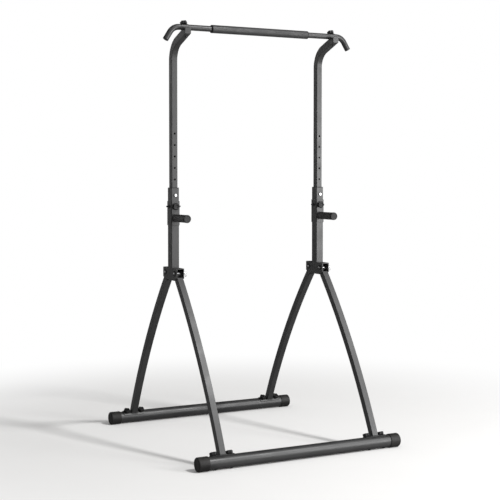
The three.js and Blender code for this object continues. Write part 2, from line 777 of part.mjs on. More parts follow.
const knobSeat = barRadius + padThickness + runClear;
const barKnob = studKnob(knobSeat + barRadius + upperDepth + studTip);
const sleeveKnob = studKnob(sleeveWall + sleeveGap);
for (const [side, sign] of sides) {
  const post = group(station, (sign * postSpacing) / 2, 0, 0);
  post.add(meshOf(`lower_post_${side}`, solids.lower, paint));
  post.add(meshOf(`post_collar_${side}`, solids.collar, plastic));
  const pin = meshOf(`post_lock_pin_${side}`, solids.lockPin, chrome);
  pin.position.z = lockPinHeight;
  post.add(pin);
  post.add(meshOf(`upper_post_${side}`, solids.upper, paint));
  const barPoint = group(post, 0, -barForward, barHeight);
  barPoint.rotation.x = -armLean;
  const knob = meshOf(`bar_knob_${side}`, barKnob, plastic);
  knob.position.z = knobSeat;
  barPoint.add(knob);

  post.add(meshOf(`dip_sleeve_${side}`, solids.sleeve, paint));
  const handle = group(post, 0, 0, handleHeight);
  handle.rotation.x = quarterTurn;
  handle.add(meshOf(`dip_grip_${side}`, solids.handleGrip, foam));
  handle.add(meshOf(`dip_cap_${side}`, solids.handleCap, plastic));
  const clamp = meshOf(`sleeve_knob_${side}`, sleeveKnob, plastic);
  clamp.position.set(0, -sleeveDepth / 2 - runClear, sleeveKnobHeight);
  clamp.rotation.x = quarterTurn;
  post.add(clamp);
  for (const [place, turn] of [['outer', sign], ['inner', -sign]]) {
    const screw = meshOf(`sleeve_screw_${side}_${place}`, solids.screw, zinc);
    screw.position.z = sleeveKnobHeight;
    screw.rotation.y = turn * quarterTurn;
    post.add(screw);
  }
}

const bar = group(station, 0, -barForward, barHeight);
bar.add(meshOf('pull_up_bar', pullUpBar(), paint));
const grip = foamTube(gripRadius, barRadius + runClear, -gripLength / 2, gripLength / 2);
bar.add(meshOf('bar_grip', alongX(grip), foam));
const { tip, heading } = barStations();
for (const [side, sign] of sides) {
  const cap = meshOf(`bar_cap_${side}`, barCap(), plastic);
  cap.position.set(sign * tip.x, 0, tip.z);
  cap.rotation.y = sign * Math.atan2(heading.x, heading.z);
  bar.add(cap);
}

export default station;
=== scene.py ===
# Folding dip station with a pull-up bar: finer surfaces, finishes, light and camera.
# The surfaces are worked out in millimetres and put into the meshes in metres.
import json
import math

import bpy
import numpy as np
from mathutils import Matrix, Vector

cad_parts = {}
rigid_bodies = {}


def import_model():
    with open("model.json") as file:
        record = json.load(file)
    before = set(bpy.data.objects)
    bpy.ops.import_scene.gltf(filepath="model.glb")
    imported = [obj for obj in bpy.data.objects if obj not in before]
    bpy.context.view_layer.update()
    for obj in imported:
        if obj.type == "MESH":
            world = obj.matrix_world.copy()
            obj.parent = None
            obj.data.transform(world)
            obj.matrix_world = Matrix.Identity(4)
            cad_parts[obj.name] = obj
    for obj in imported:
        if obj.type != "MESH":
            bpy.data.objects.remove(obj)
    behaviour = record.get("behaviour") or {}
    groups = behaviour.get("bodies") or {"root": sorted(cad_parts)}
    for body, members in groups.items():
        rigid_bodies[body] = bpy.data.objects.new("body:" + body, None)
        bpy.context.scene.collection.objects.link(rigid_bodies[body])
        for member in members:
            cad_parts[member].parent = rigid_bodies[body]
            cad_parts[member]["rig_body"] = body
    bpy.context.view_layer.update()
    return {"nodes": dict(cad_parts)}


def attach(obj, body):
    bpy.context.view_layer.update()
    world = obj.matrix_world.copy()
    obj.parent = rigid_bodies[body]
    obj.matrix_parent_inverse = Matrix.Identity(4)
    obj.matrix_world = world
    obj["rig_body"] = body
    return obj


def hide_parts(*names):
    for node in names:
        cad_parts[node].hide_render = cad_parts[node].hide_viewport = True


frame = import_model()
print("frame loaded with", len(frame["nodes"]), "nodes")

scene = bpy.context.scene
scene.view_settings.view_transform = "Standard"

quarterTurn = math.pi / 2
fullTurn = 2 * math.pi
millimetre = 0.001
creaseAngle = math.radians(32)
edgeWear = 0.7
leastCorner = 0.4

# where the main parts of the station are, in millimetres; clear is the gap between parts
# that fit together, and overlap is how far a welded plate runs into its neighbours
station = {
    "postX": 417.5,
    "beamY": 562.0,
    "beamZ": 33.2,
    "beamRadius": 30.0,
    "legTilt": math.radians(24.4),
    "pinY": 57.0,
    "pinZ": 862.0,
    "barY": -137.6,
    "barZ": 2068.39,
    "armLean": math.radians(20.0),
    "clear": 0.3,
    "overlap": 0.2,
}
sides = (("left", -1), ("right", 1))
ends = (("front", 1), ("rear", -1))
leanTurn = -station["armLean"]


# a new object in the scene
def put(name, data):
    made = bpy.data.objects.new(name, data)
    scene.collection.objects.link(made)
    return made


# stands a camera or a lamp at a place and points it along a heading
def aim(thing, place, heading):
    thing.location = place
    thing.rotation_mode = "QUATERNION"
    thing.rotation_quaternion = Vector(heading).to_track_quat("-Z", "Y")


# the camera of the photograph, its place in metres
viewpoint = {
    "place": (-2.69941, -5.26251, 1.34877),
    "heading": math.radians(27.268),
    "drop": math.radians(1.905),
    "lens": 82.4946,
    "sensor": 36.0,
    "shiftUp": -0.07333,
    "near": 0.05,
    "far": 200,
}


def makeCamera(look):
    data = bpy.data.cameras.new("photoView")
    data.sensor_width = look["sensor"]
    data.lens = look["lens"]
    data.shift_y = look["shiftUp"]
    data.clip_start = look["near"]
    data.clip_end = look["far"]
    level = math.cos(look["drop"])
    across, ahead = math.sin(look["heading"]) * level, math.cos(look["heading"]) * level
    eye = put("photoView", data)
    aim(eye, look["place"], (across, ahead, -math.sin(look["drop"])))
    scene.camera = eye


makeCamera(viewpoint)


# turns about an axis, as arrays that a row of points is multiplied by
def turnX(angle):
    c, s = math.cos(angle), math.sin(angle)
    return np.array([[1, 0, 0], [0, c, s], [0, -s, c]], float)


def turnY(angle):
    c, s = math.cos(angle), math.sin(angle)
    return np.array([[c, 0, -s], [0, 1, 0], [s, 0, c]], float)


def turnZ(angle):
    c, s = math.cos(angle), math.sin(angle)
    return np.array([[c, s, 0], [-s, c, 0], [0, 0, 1]], float)


# a shell is a grid of points, rows by columns; its columns always close,
# and its rows close too where the shell has no poles
def shell(points, closeRows=False, wear=0.0, paint=0):
    points = np.asarray(points, float)
    worn = np.broadcast_to(np.asarray(wear, float), points.shape[:2]).copy()
    return {"points": points, "closeRows": closeRows, "wear": worn, "paint": paint}


# copies of shells, each point turned about the origin and then shifted
def moved(shells, turn=None, shift=(0, 0, 0)):
    turn = np.eye(3) if turn is None else turn
    return [{**s, "points": s["points"] @ turn + np.asarray(shift, float)} for s in shells]


# the quads between neighbouring rows and columns, turned so that the shell's volume is positive
def quadsOf(points, closeRows):
    rows, columns = points.shape[:2]
    row = np.arange(rows if closeRows else rows - 1)[:, None]
    column = np.arange(columns)[None, :]
    row2 = (row + 1) % rows
    column2 = (column + 1) % columns
    corners = (row * columns + column, row * columns + column2,
               row2 * columns + column2, row2 * columns + column)
    quads = np.stack(corners, -1).reshape(-1, 4)
    a, b, c, d = (points.reshape(-1, 3)[quads[:, k]] for k in range(4))
    volume = (a * np.cross(b, c)).sum() + (a * np.cross(c, d)).sum()
    return quads if volume > 0 else quads[:, ::-1]


# one mesh of several shells: equal points are merged within a shell, which closes
# seams and poles, and a quad that loses a corner becomes a triangle
def meshOf(name, shells, sharp=creaseAngle):
    places, faces, paints, wears = [], [], [], []
    base = 0
    for s in shells:
        flat = s["points"].reshape(-1, 3)
        quads = quadsOf(s["points"], s["closeRows"])
        first, back = np.unique(
            np.round(flat, 4), axis=0, return_index=True, return_inverse=True
        )[1:]
        places.append(flat[first])
        wears.append(s["wear"].reshape(-1)[first])
        faces.append(back.reshape(-1)[quads] + base)
        paints.append(np.full(len(quads), s["paint"]))
        base += len(first)
    places, faces = np.concatenate(places), np.concatenate(faces)
    paints, wears = np.concatenate(paints), np.concatenate(wears)
    kept = faces != np.roll(faces, 1, axis=1)
    whole = kept.sum(1) >= 3
    faces, kept, paints = faces[whole], kept[whole], paints[whole]
    counts = kept.sum(1)
    starts = np.concatenate([[0], np.cumsum(counts)[:-1]])
    mesh = bpy.data.meshes.new(name)
    mesh.vertices.add(len(places))
    mesh.vertices.foreach_set("co", (places * millimetre).ravel())
    mesh.loops.add(int(counts.sum()))
    mesh.loops.foreach_set("vertex_index", faces[kept].astype(np.int32))
    mesh.polygons.add(len(faces))
    mesh.polygons.foreach_set("loop_start", starts.astype(np.int32))
    mesh.polygons.foreach_set("material_index", paints.astype(np.int32))
    mesh.polygons.foreach_set("use_smooth", np.ones(len(faces), bool))
    mesh.update(calc_edges=True)
    mesh.validate()
    worn = mesh.attributes.new("wear", "FLOAT", "POINT")
    worn.data.foreach_set("value", wears.astype(np.float32))
    mesh.set_sharp_from_angle(angle=sharp)
    return mesh


# a cut shape is a mesh already, any other shape is a list of shells
def asMesh(name, shape):
    return shape if isinstance(shape, bpy.types.Mesh) else meshOf(name, shape)


# points about Z: x = radius * cos(angle), y = radius * sin(angle), z = height
def aboutZ(radius, angle, height):
    x, y = radius * np.cos(angle), radius * np.sin(angle)
    return np.stack(np.broadcast_arrays(x, y, height), -1)


# evenly spaced angles of one full turn
def turnSteps(count):
    return np.linspace(0, fullTurn, count, endpoint=False)


# a profile of (radius, height) turned about Z
def turned(profile, around=64, closeRows=False, wear=0.0, paint=0):
    profile = np.asarray(profile, float)
    points = aboutZ(profile[:, 0, None], turnSteps(around), profile[:, 1, None])
    wear = np.asarray(wear, float)
    return shell(points, closeRows, wear[:, None] if wear.ndim else wear, paint)


# an arc in a profile, from one angle to another about a centre
def arcOf(centre, radius, begin, finish, steps=6):
    angle = np.radians(np.linspace(begin, finish, steps))
    return np.stack([centre[0] + radius * np.cos(angle), centre[1] + radius * np.sin(angle)], -1)


# a rectangle with rounded corners as one closed loop; a short straight at both ends
# of each flat keeps the flat's shading even
def roundedLoop(width, depth, corner, perCorner=7, lead=0.5):
    swing = np.linspace(0, quarterTurn, perCorner)
    quarters = []
    for k in range(4):
        w, d = (width, depth) if k % 2 == 0 else (depth, width)
        arc = np.stack([w / 2 - corner + corner * np.cos(swing),
                        d / 2 - corner + corner * np.sin(swing)], -1)
        begin = [[w / 2, d / 2 - corner - lead]]
        finish = [[w / 2 - corner - lead, d / 2]]
        quarter = np.concatenate([begin, arc, finish])
        c, s = round(math.cos(k * quarterTurn)), round(math.sin(k * quarterTurn))
        quarters.append(quarter @ np.array([[c, s], [-s, c]], float))
    return np.concatenate(quarters)


# how much the corners of such a loop wear: the most in the middle of each arc
def cornerWear(perCorner=7):
    arc = np.sin(np.linspace(0, math.pi, perCorner)) ** 0.5
    return np.tile(np.concatenate([[0], arc, [0]]), 4)


# the rows of a tube's wall as (inset, height, wear): up the outside, over the rim,
# down the inside and under the lower rim
def wallRows(wall, low, high, rim=0.5):
    lead, midway = 0.6, 0.3 * rim  # midway is halfway round the rim's edge
    rows = [
        (midway, low + midway, 1), (0, low + rim, 0.8), (0, low + rim + lead, 0),
        (0, high - rim - lead, 0), (0, high - rim, 0.8), (midway, high - midway, 1),
        (rim, high, 0.8), (wall - rim / 2, high, 0.2), (wall, high - rim / 2, 0),
        (wall, low + rim / 2, 0), (wall - rim / 2, low, 0.2), (rim, low, 0.8),
    ]
    return np.array(rows, float)


# a rounded rectangle grown or drawn in on all sides
def grownLoop(width, depth, grow, corner, perCorner=7):
    return roundedLoop(width + 2 * grow, depth + 2 * grow, corner, perCorner)


# a rectangular tube that stands on Z: each row is the rounded loop, drawn in by its inset
def standingTube(width, depth, corner, wall, low, high, rim=0.5, perCorner=7):
    rows = wallRows(wall, low, high, rim)
    outline = np.stack(
        [grownLoop(width, depth, -i, max(corner - i, leastCorner), perCorner) for i in rows[:, 0]]
    )
    height = np.repeat(rows[:, 1, None], outline.shape[1], 1)
    points = np.concatenate([outline, height[..., None]], -1)
    inside = (rows[:, 0] >= wall - rim)[:, None]
    corners = edgeWear * cornerWear(perCorner)[None, :]
    wear = np.where(inside, 0, np.maximum(rows[:, 2, None], corners))
    return shell(points, True, wear)


# points and headings of an arc that starts along one heading and bends towards another
def arcPath(start, heading, towards, radius, angle, steps):
    swing = np.linspace(0, angle, steps)[:, None]
    start, heading, towards = (np.asarray(v, float) for v in (start, heading, towards))
    places = start + radius * (np.sin(swing) * heading + (1 - np.cos(swing)) * towards)
    headings = np.cos(swing) * heading + np.sin(swing) * towards
    return places, headings


# a loop carried along a path: place + x * across + y * (heading x across)
def carried(loop, places, headings, across):
    across = np.asarray(across, float)
    other = np.cross(headings, across)
    return (
        places[:, None, :]
        + loop[..., 0, None] * across
        + loop[..., 1, None] * other[:, None, :]
    )


# closes a carried grid with a middle point in front of its first row and behind its last
def capped(points):
    first = np.broadcast_to(points[:1].mean(1, keepdims=True), points[:1].shape)
    last = np.broadcast_to(points[-1:].mean(1, keepdims=True), points[-1:].shape)
    return np.concatenate([first, points, last])


# a plate with eased edges: a rounded rectangle of width (along X) by depth carried along a
# heading from one distance to another, smaller by the ease at both ends
def easedPlate(width, depth, corner, middle, heading, begin, finish, ease=0.4, lead=0.8):
    flat = ease + lead
    rows = [(flat, begin, 0), (ease, begin, 1), (0, begin + ease, 1), (0, finish - ease, 1),
            (ease, finish, 1), (flat, finish, 0)]
    loops = np.stack([grownLoop(width, depth, -i, corner) for i, z, w in rows])
    heading = np.asarray(heading, float)
    places = np.asarray(middle, float) + np.array([z for i, z, w in rows])[:, None] * heading
    points = carried(loops, places, np.broadcast_to(heading, places.shape), (1, 0, 0))
    wear = np.array([0, *[w for i, z, w in rows], 0], float)
    return shell(capped(points), False, wear[:, None])


# a flat plate in the Y-Z plane with one round hole: each point of the outline is joined
# to the point of the hole that lies in its direction
def holedPlate(outline, centre, radius, start, thickness, edge=0.4):
    outline, centre = np.asarray(outline, float), np.asarray(centre, float)
    away = outline - centre
    direction = away / np.linalg.norm(away, axis=1, keepdims=True)
    hole = centre + radius * direction
    drawnIn = outline - edge * direction
    middle = (hole + outline) / 2
    near, far = start, start + thickness
    rows = [(hole, near, 0), (middle, near, 0), (drawnIn, near, 1), (outline, near + edge, 1),
            (outline, far - edge, 1), (drawnIn, far, 1), (middle, far, 0), (hole, far, 0)]
    points = np.stack(
        [np.concatenate([np.full((len(p), 1), x), p], 1) for p, x, w in rows]
    )
    return shell(points, True, np.array([w for p, x, w in rows], float)[:, None])


# a polygon with its corners rounded: at each corner the arc that touches both edges
def roundedPolygon(corners, radii, perCorner=8, perEdge=6):
    corners, radii = np.asarray(corners, float), np.asarray(radii, float)[:, None]
    before, after = np.roll(corners, 1, 0) - corners, np.roll(corners, -1, 0) - corners
    before /= np.linalg.norm(before, axis=1, keepdims=True)
    after /= np.linalg.norm(after, axis=1, keepdims=True)
    half = np.arccos(np.clip((before * after).sum(1, keepdims=True), -1, 1)) / 2
    reach = radii / np.tan(half)
    a, b = corners + reach * before, corners + reach * after
    share = np.linspace(0, 1, perCorner)[None, :, None]
    bisector = before + after
    bisector /= np.linalg.norm(bisector, axis=1, keepdims=True)
    middle = corners + bisector * radii / np.sin(half)
    ray = (a[:, None] * (1 - share) + b[:, None] * share) - middle[:, None]
    arcs = middle[:, None] + ray / np.linalg.norm(ray, axis=2, keepdims=True) * radii[:, None]
    step = np.linspace(0, 1, perEdge + 2)[None, 1:-1, None]
    edges = arcs[:, -1:, :] * (1 - step) + np.roll(arcs[:, :1, :], -1, 0) * step
    return np.concatenate([arcs, edges], 1).reshape(-1, 2)


# a plate bent round the X axis: a rounded rectangle of length by arc, drawn in towards
# its middle in rings, each point at angle arc / radius from straight up
def bentPlate(length, halfArc, inner, outer, corner=6, edge=0.5, rings=14):
    half, reach = length / 2, (inner + outer) / 2 * halfArc
    corners = [(half, reach), (-half, reach), (-half, -reach), (half, -reach)]
    loop = roundedPolygon(corners, [corner] * 4, perCorner=6, perEdge=24)
    shares = np.linspace(0, 1, rings)[:, None, None]
    face = loop * shares
    drawn = loop * (1 - edge / np.abs(loop).max())
    rows = [(f, outer) for f in face[:-1]] + [(drawn, outer), (loop, outer - edge),
            (loop, inner + edge), (drawn, inner)] + [(f, inner) for f in face[:-1][::-1]]
    wear = np.zeros(len(rows))
    wear[rings - 1:rings + 3] = 1
    flat = np.stack([p for p, r in rows])
    radius = np.array([r for p, r in rows])[:, None]
    angle = flat[..., 1] / ((inner + outer) / 2)
    points = np.stack([flat[..., 0], radius * np.sin(angle), radius * np.cos(angle)], -1)
    return shell(points, False, wear[:, None])


# sets a node's sockets by name or number: an output is linked to one, a value is put on it
def feed(node, sockets):
    for label, value in sockets.items():
        if isinstance(value, bpy.types.NodeSocket):
            node.id_data.links.new(value, node.inputs[label])
        else:
            node.inputs[label].default_value = value


def nodeIn(tree, kind, sockets=None, **settings):
    made = tree.nodes.new(kind)
    for key, value in settings.items():
        setattr(made, key, value)
    feed(made, sockets or {})
    return made


# a new shader node group with its named inputs and outputs, all of them numbers
def startGroup(name, inputs, outputs):
    tree = bpy.data.node_groups.new(name, "ShaderNodeTree")
    kind = "NodeSocketFloat"
    for label, value in inputs.items():
        socket = tree.interface.new_socket(name=label, in_out="INPUT", socket_type=kind)
        socket.default_value = value
    for label in outputs:
        tree.interface.new_socket(name=label, in_out="OUTPUT", socket_type=kind)
    return tree, nodeIn(tree, "NodeGroupInput").outputs, nodeIn(tree, "NodeGroupOutput")


def groupIn(tree, group, sockets):
    return nodeIn(tree, "ShaderNodeGroup", sockets, node_tree=group).outputs


def objectPlaceIn(tree):
    return nodeIn(tree, "ShaderNodeTexCoord").outputs["Object"]


def noiseIn(tree, scale, detail, roughness=0.5, place=None):
    sockets = {"Scale": scale, "Detail": detail, "Roughness": roughness,
               "Vector": place or objectPlaceIn(tree)}
    return nodeIn(tree, "ShaderNodeTexNoise", sockets).outputs["Fac"]


def mathIn(tree, kind, a, b, clamp=False):
    made = nodeIn(tree, "ShaderNodeMath", {0: a, 1: b}, operation=kind, use_clamp=clamp)
    return made.outputs[0]


def rangeIn(tree, value, low, high, newLow=0.0, newHigh=1.0, curve="SMOOTHSTEP"):
    made = nodeIn(tree, "ShaderNodeMapRange", {
        "Value": value, "From Min": low, "From Max": high, "To Min": newLow, "To Max": newHigh,
    }, interpolation_type=curve)
    return made.outputs["Result"]


# one colour where the mask is zero, the other where it is one
def mixIn(tree, mask, a, b):
    a, b = ((*colour, 1) if isinstance(colour, tuple) else colour for colour in (a, b))
    return nodeIn(tree, "ShaderNodeMix", {0: mask, 6: a, 7: b}, data_type="RGBA").outputs[2]


skinLook = {"peelDetail": 1.5, "grainDetail": 2.0, "cloud": 9.0, "cloudDetail": 3.0}
rubLook = {"detail": 4.0, "roughness": 0.65, "soft": 0.18}
dustLook = {
    "patch": 45.0, "detail": 5.0, "roughness": 0.7, "facing": (0.35, 1.0), "spread": (0.35, 0.75),
    "dulls": 0.4,
}
cloudSpread = (0.3, 0.7)


# orange peel of a sprayed or moulded skin: soft waves with a fine grain on them
def makeSkinGroup(look):
    defaults = {"Peel Scale": 420.0, "Grain Scale": 1500.0, "Grain Share": 0.4}
    tree, given, out = startGroup("sprayedSkin", defaults, ("Height", "Mottle"))
    peel = noiseIn(tree, given["Peel Scale"], look["peelDetail"])
    grain = noiseIn(tree, given["Grain Scale"], look["grainDetail"])
    fine = mathIn(tree, "MULTIPLY", grain, given["Grain Share"])
    cloud = noiseIn(tree, look["cloud"], look["cloudDetail"])
    feed(out, {
        "Height": mathIn(tree, "ADD", peel, fine), "Mottle": rangeIn(tree, cloud, *cloudSpread),
    })
    return tree


# bare patches where an edge has rubbed: the edge value of the mesh broken up by noise
def makeWearGroup(look):
    tree, given, out = startGroup("rubbedEdges", {"Amount": 0.5, "Patch Scale": 90.0}, ("Mask",))
    edge = nodeIn(tree, "ShaderNodeAttribute", attribute_name="wear").outputs["Fac"]
    patches = noiseIn(tree, given["Patch Scale"], look["detail"], look["roughness"])
    lowEnd = mathIn(tree, "SUBTRACT", 1.0, given["Amount"])
    highEnd = mathIn(tree, "ADD", lowEnd, look["soft"])
    reach = mathIn(tree, "MULTIPLY", edge, patches)
    feed(out, {"Mask": rangeIn(tree, reach, lowEnd, highEnd)})
    return tree


# a little dust on what faces up, in patches
def makeDustGroup(look):
    tree, given, out = startGroup("settledDust", {"Amount": 0.3}, ("Mask",))
    normal = nodeIn(tree, "ShaderNodeTexCoord").outputs["Normal"]
    facing = nodeIn(tree, "ShaderNodeSeparateXYZ", {0: normal})
    up = rangeIn(tree, facing.outputs["Z"], *look["facing"])
    patches = noiseIn(tree, look["patch"], look["detail"], look["roughness"])
    both = mathIn(tree, "MULTIPLY", up, rangeIn(tree, patches, *look["spread"]))
    feed(out, {"Mask": mathIn(tree, "MULTIPLY", both, given["Amount"])})
    return tree


skinGroup, wearGroup, dustGroup = (
    makeSkinGroup(skinLook), makeWearGroup(rubLook), makeDustGroup(dustLook)
)


def startMaterial(name):
    material = bpy.data.materials.new(name)
    material.use_nodes = True
    tree = material.node_tree
    return material, tree, tree.nodes["Principled BSDF"]


def bumpIn(tree, height, distance):
    sockets = {"Height": height, "Distance": distance}
    return nodeIn(tree, "ShaderNodeBump", sockets).outputs["Normal"]


def skinIn(tree, look):
    return groupIn(tree, skinGroup, {
        "Peel Scale": look["peel"], "Grain Scale": look["grain"], "Grain Share": look["grainShare"],
    })


def wornIn(tree, look):
    return groupIn(tree, wearGroup, {"Amount": look["wear"], "Patch Scale": look["patch"]})["Mask"]


# a plain finish of one colour pair with skin, rubbed edges and dust over it
def makeFinish(name, look):
    material, tree, shader = startMaterial(name)
    skin = skinIn(tree, look)
    dust = groupIn(tree, dustGroup, {"Amount": look["dust"]})["Mask"]
    colour = mixIn(tree, skin["Mottle"], look["dark"], look["light"])
    colour = mixIn(tree, wornIn(tree, look), colour, look["bare"])
    rough = rangeIn(tree, skin["Mottle"], 0.0, 1.0, *look["rough"])
    dull = mathIn(tree, "MULTIPLY", dust, dustLook["dulls"])
    feed(shader, {
        "Base Color": mixIn(tree, dust, colour, look["dustColour"]),
        "Roughness": mathIn(tree, "ADD", rough, dull, True),
        "Metallic": look["metal"],
        "Specular IOR Level": look["shine"],
        "Normal": bumpIn(tree, skin["Height"], look["bump"]),
    })
    return material


powderCoat = {
    "dark": (0.018, 0.018, 0.0184), "light": (0.024, 0.024, 0.0244), "bare": (0.075, 0.075, 0.077),
    "dustColour": (0.07, 0.068, 0.065), "rough": (0.37, 0.44), "metal": 0.0, "shine": 0.45,
    "peel": 520.0, "grain": 1700.0, "grainShare": 0.35, "bump": 0.00007,
    "wear": 0.42, "patch": 90.0, "dust": 0.25,
}
capRubber = {
    "dark": (0.009, 0.0085, 0.0082), "light": (0.015, 0.014, 0.0134),
    "bare": (0.035, 0.033, 0.031), "dustColour": (0.05, 0.047, 0.043),
    "rough": (0.50, 0.62), "metal": 0.0, "shine": 0.25,
    "peel": 700.0, "grain": 2200.0, "grainShare": 0.7, "bump": 0.00018,
    "wear": 0.45, "patch": 120.0, "dust": 0.45,
}
knobPlastic = {
    "dark": (0.0050, 0.0050, 0.0053), "light": (0.0085, 0.0085, 0.0088),
    "bare": (0.028, 0.028, 0.029), "dustColour": (0.06, 0.058, 0.055),
    "rough": (0.42, 0.54), "metal": 0.0, "shine": 0.30,
    "peel": 900.0, "grain": 2600.0, "grainShare": 0.8, "bump": 0.00010,
    "wear": 0.40, "patch": 200.0, "dust": 0.25,
}
boltZinc = {
    "dark": (0.030, 0.030, 0.033), "light": (0.055, 0.055, 0.058), "bare": (0.25, 0.25, 0.26),
    "dustColour": (0.12, 0.115, 0.11), "rough": (0.30, 0.46), "metal": 0.8, "shine": 0.5,
    "peel": 600.0, "grain": 1800.0, "grainShare": 0.6, "bump": 0.00008,
    "wear": 0.50, "patch": 260.0, "dust": 0.2,
}
gripFoam = {
    # the pit colour is painted shade in the foam's cells
    "pitShade": (0.008, 0.008, 0.0083), "skin": (0.019, 0.019, 0.0195),
    "dustColour": (0.05, 0.049, 0.047), "dust": 0.15, "rough": (0.46, 0.58), "shine": 0.62,
    "cells": 620.0, "cellSpread": (0.1, 0.55), "peel": 260.0, "grain": 1400.0, "grainShare": 0.6,
    "soft": 60.0, "softDetail": 4.0, "softRoughness": 0.6, "softSpread": (0.2, 0.8),
    "softTone": (0.75, 1.0), "bump": 0.0003,
}
pinPlating = {
    "dark": (0.62, 0.62, 0.63), "light": (0.78, 0.78, 0.785), "bare": (0.30, 0.30, 0.31),
    "rough": (0.26, 0.42), "cloud": 70.0, "cloudDetail": 4.0, "roughness": 0.6,
    "scratches": 1300.0, "scratchDetail": 3.0, "squeeze": (1.0, 0.12, 0.12), "bump": 0.00003,
    "wear": 0.45, "patch": 300.0,
}


# closed-cell foam: small round cells pressed into a soft skin, with painted shade in the pits: they
# take a darker colour than the skin
def makeFoam(look):
    material, tree, shader = startMaterial("gripFoam")
    place = objectPlaceIn(tree)
    cells = nodeIn(tree, "ShaderNodeTexVoronoi", {"Scale": look["cells"], "Vector": place})
    pits = rangeIn(tree, cells.outputs["Distance"], *look["cellSpread"])
    soft = noiseIn(tree, look["soft"], look["softDetail"], look["softRoughness"], place)
    shade = rangeIn(tree, soft, *look["softSpread"], *look["softTone"])
    dust = groupIn(tree, dustGroup, {"Amount": look["dust"]})["Mask"]
    skin = skinIn(tree, look)
    # painted shade: the pits are coloured darker than the skin, blotched at random by the soft
    # noise
    colour = mixIn(tree, mathIn(tree, "MULTIPLY", pits, shade), look["pitShade"], look["skin"])
    height = mathIn(tree, "ADD", pits, skin["Height"])
    feed(shader, {
        "Base Color": mixIn(tree, dust, colour, look["dustColour"]),
        "Roughness": rangeIn(tree, skin["Mottle"], 0.0, 1.0, *look["rough"]),
        "Specular IOR Level": look["shine"],
        "Normal": bumpIn(tree, height, look["bump"]),
    })
    return material


# bright plated steel with fine scratches that run round the pin
def makeBright(look):
    material, tree, shader = startMaterial("brightPlatedSteel")
    sockets = {"Scale": look["squeeze"], "Vector": objectPlaceIn(tree)}
    squeezed = nodeIn(tree, "ShaderNodeMapping", sockets).outputs["Vector"]
    lines = noiseIn(tree, look["scratches"], look["scratchDetail"], look["roughness"], squeezed)
    cloud = noiseIn(tree, look["cloud"], look["cloudDetail"], look["roughness"])
    colour = mixIn(tree, rangeIn(tree, cloud, *cloudSpread), look["dark"], look["light"])
    feed(shader, {
        "Base Color": mixIn(tree, wornIn(tree, look), colour, look["bare"]),
        "Roughness": rangeIn(tree, lines, *cloudSpread, *look["rough"]),
        "Metallic": 1.0,
        "Normal": bumpIn(tree, lines, look["bump"]),
    })
    return material


finishes = {
    "steel_frame": makeFinish("powderCoatedSteel", powderCoat),
    "rubber_cap": makeFinish("capRubber", capRubber),
    "black_plastic": makeFinish("knobPlastic", knobPlastic),
    "dark_bolt": makeFinish("blackZincedSteel", boltZinc),
    "foam_grip": makeFoam(gripFoam),
    "bright_pin": makeBright(pinPlating),
}
slotOfNode = {
    "base_beam": "steel_frame", "beam_cap": "rubber_cap", "leg": "steel_frame",
    "foot_bolt": "dark_bolt", "foot_knob": "black_plastic", "hinge_pin": "bright_pin",
    "pin_ring": "bright_pin", "lower_post": "steel_frame", "post_collar": "black_plastic",
    "post_lock_pin": "bright_pin", "upper_post": "steel_frame", "bar_knob": "black_plastic",
    "dip_sleeve": "steel_frame", "dip_grip": "foam_grip", "dip_cap": "black_plastic",
    "sleeve_knob": "black_plastic", "sleeve_screw": "dark_bolt", "pull_up_bar": "steel_frame",
    "bar_grip": "foam_grip", "bar_cap": "black_plastic",
}
print("finishes made:", len(bpy.data.materials))


# the finish of a node, by how its name starts
def slotFor(node):
    return next(slot for start, slot in slotOfNode.items() if node.startswith(start))


for name, cadObject in frame["nodes"].items():
    cadObject.data.materials.clear()
    cadObject.data.materials.append(finishes[slotFor(name)])


# puts a shape in the scene in place of one CAD node, riding on that node's body; the
# shells with paint 1 take the other finish
def dress(node, shape, otherSlot=None):
    mesh = asMesh(node, shape)
    mesh.name = node + "_mesh"
    piece = put(node + "_surface", mesh)
    mesh.materials.append(finishes[slotFor(node)])
    if otherSlot:
        mesh.materials.append(finishes[otherSlot])
    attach(piece, frame["nodes"][node]["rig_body"])
    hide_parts(node)


# base beams and their rubber caps
beamLook = {"wall": 2.0, "half": 545.0, "around": 96}
capLook = {
    "outer": 33.6, "inner": 30.3, "length": 56.0, "floor": 5.0, "round": 7.0, "rim": 1.2,
    "dish": 20.5, "dishDepth": 1.2, "sag": 0.1, "lip": 1.5, "lipWidth": 2.4, "crown": 0.05,
    "bevel": 0.5, "lead": 1.0, "around": 96, "wear": (0.8, 0.9),
}


# a tube about Z: the wall's rows as (radius, height)
def roundTube(radius, wall, low, high, around, rim=0.4):
    rows = wallRows(wall, low, high, rim)
    profile = np.stack([radius - rows[:, 0], rows[:, 1]], -1)
    return turned(profile, around, True, np.where(rows[:, 0] < wall / 2, rows[:, 2], 0))


# a cup along +Z with its mouth at the bottom, a rounded end and a shallow dish in it
def capShells(look):
    outer, inner, top, lead = look["outer"], look["inner"], look["length"], look["lead"]
    dish, bend, lip, rim, bevel = (look[k] for k in ("dish", "round", "lip", "rim", "bevel"))
    deep, floor = top - look["dishDepth"], top - look["floor"]
    profile = np.concatenate([
        [(0, deep - look["sag"]), (dish, deep)],
        arcOf((dish, deep + lip), lip, -90, -20, 4),
        [(dish + look["lipWidth"], top - look["crown"]), (outer - bend - lead, top)],
        arcOf((outer - bend, top - bend), bend, 90, 0, 9),
        [(outer, top - bend - lead), (outer, rim + lead), (outer, rim)],
        arcOf((outer - rim, rim), rim, 0, -90, 5),
        [(inner + bevel, 0), (inner, bevel), (inner, floor), (0, floor)],
    ])
    wear = np.zeros(len(profile))
    wear[8:16], wear[19:24] = look["wear"]  # round the closed end and round the mouth
    return [turned(profile, look["around"], False, wear)]


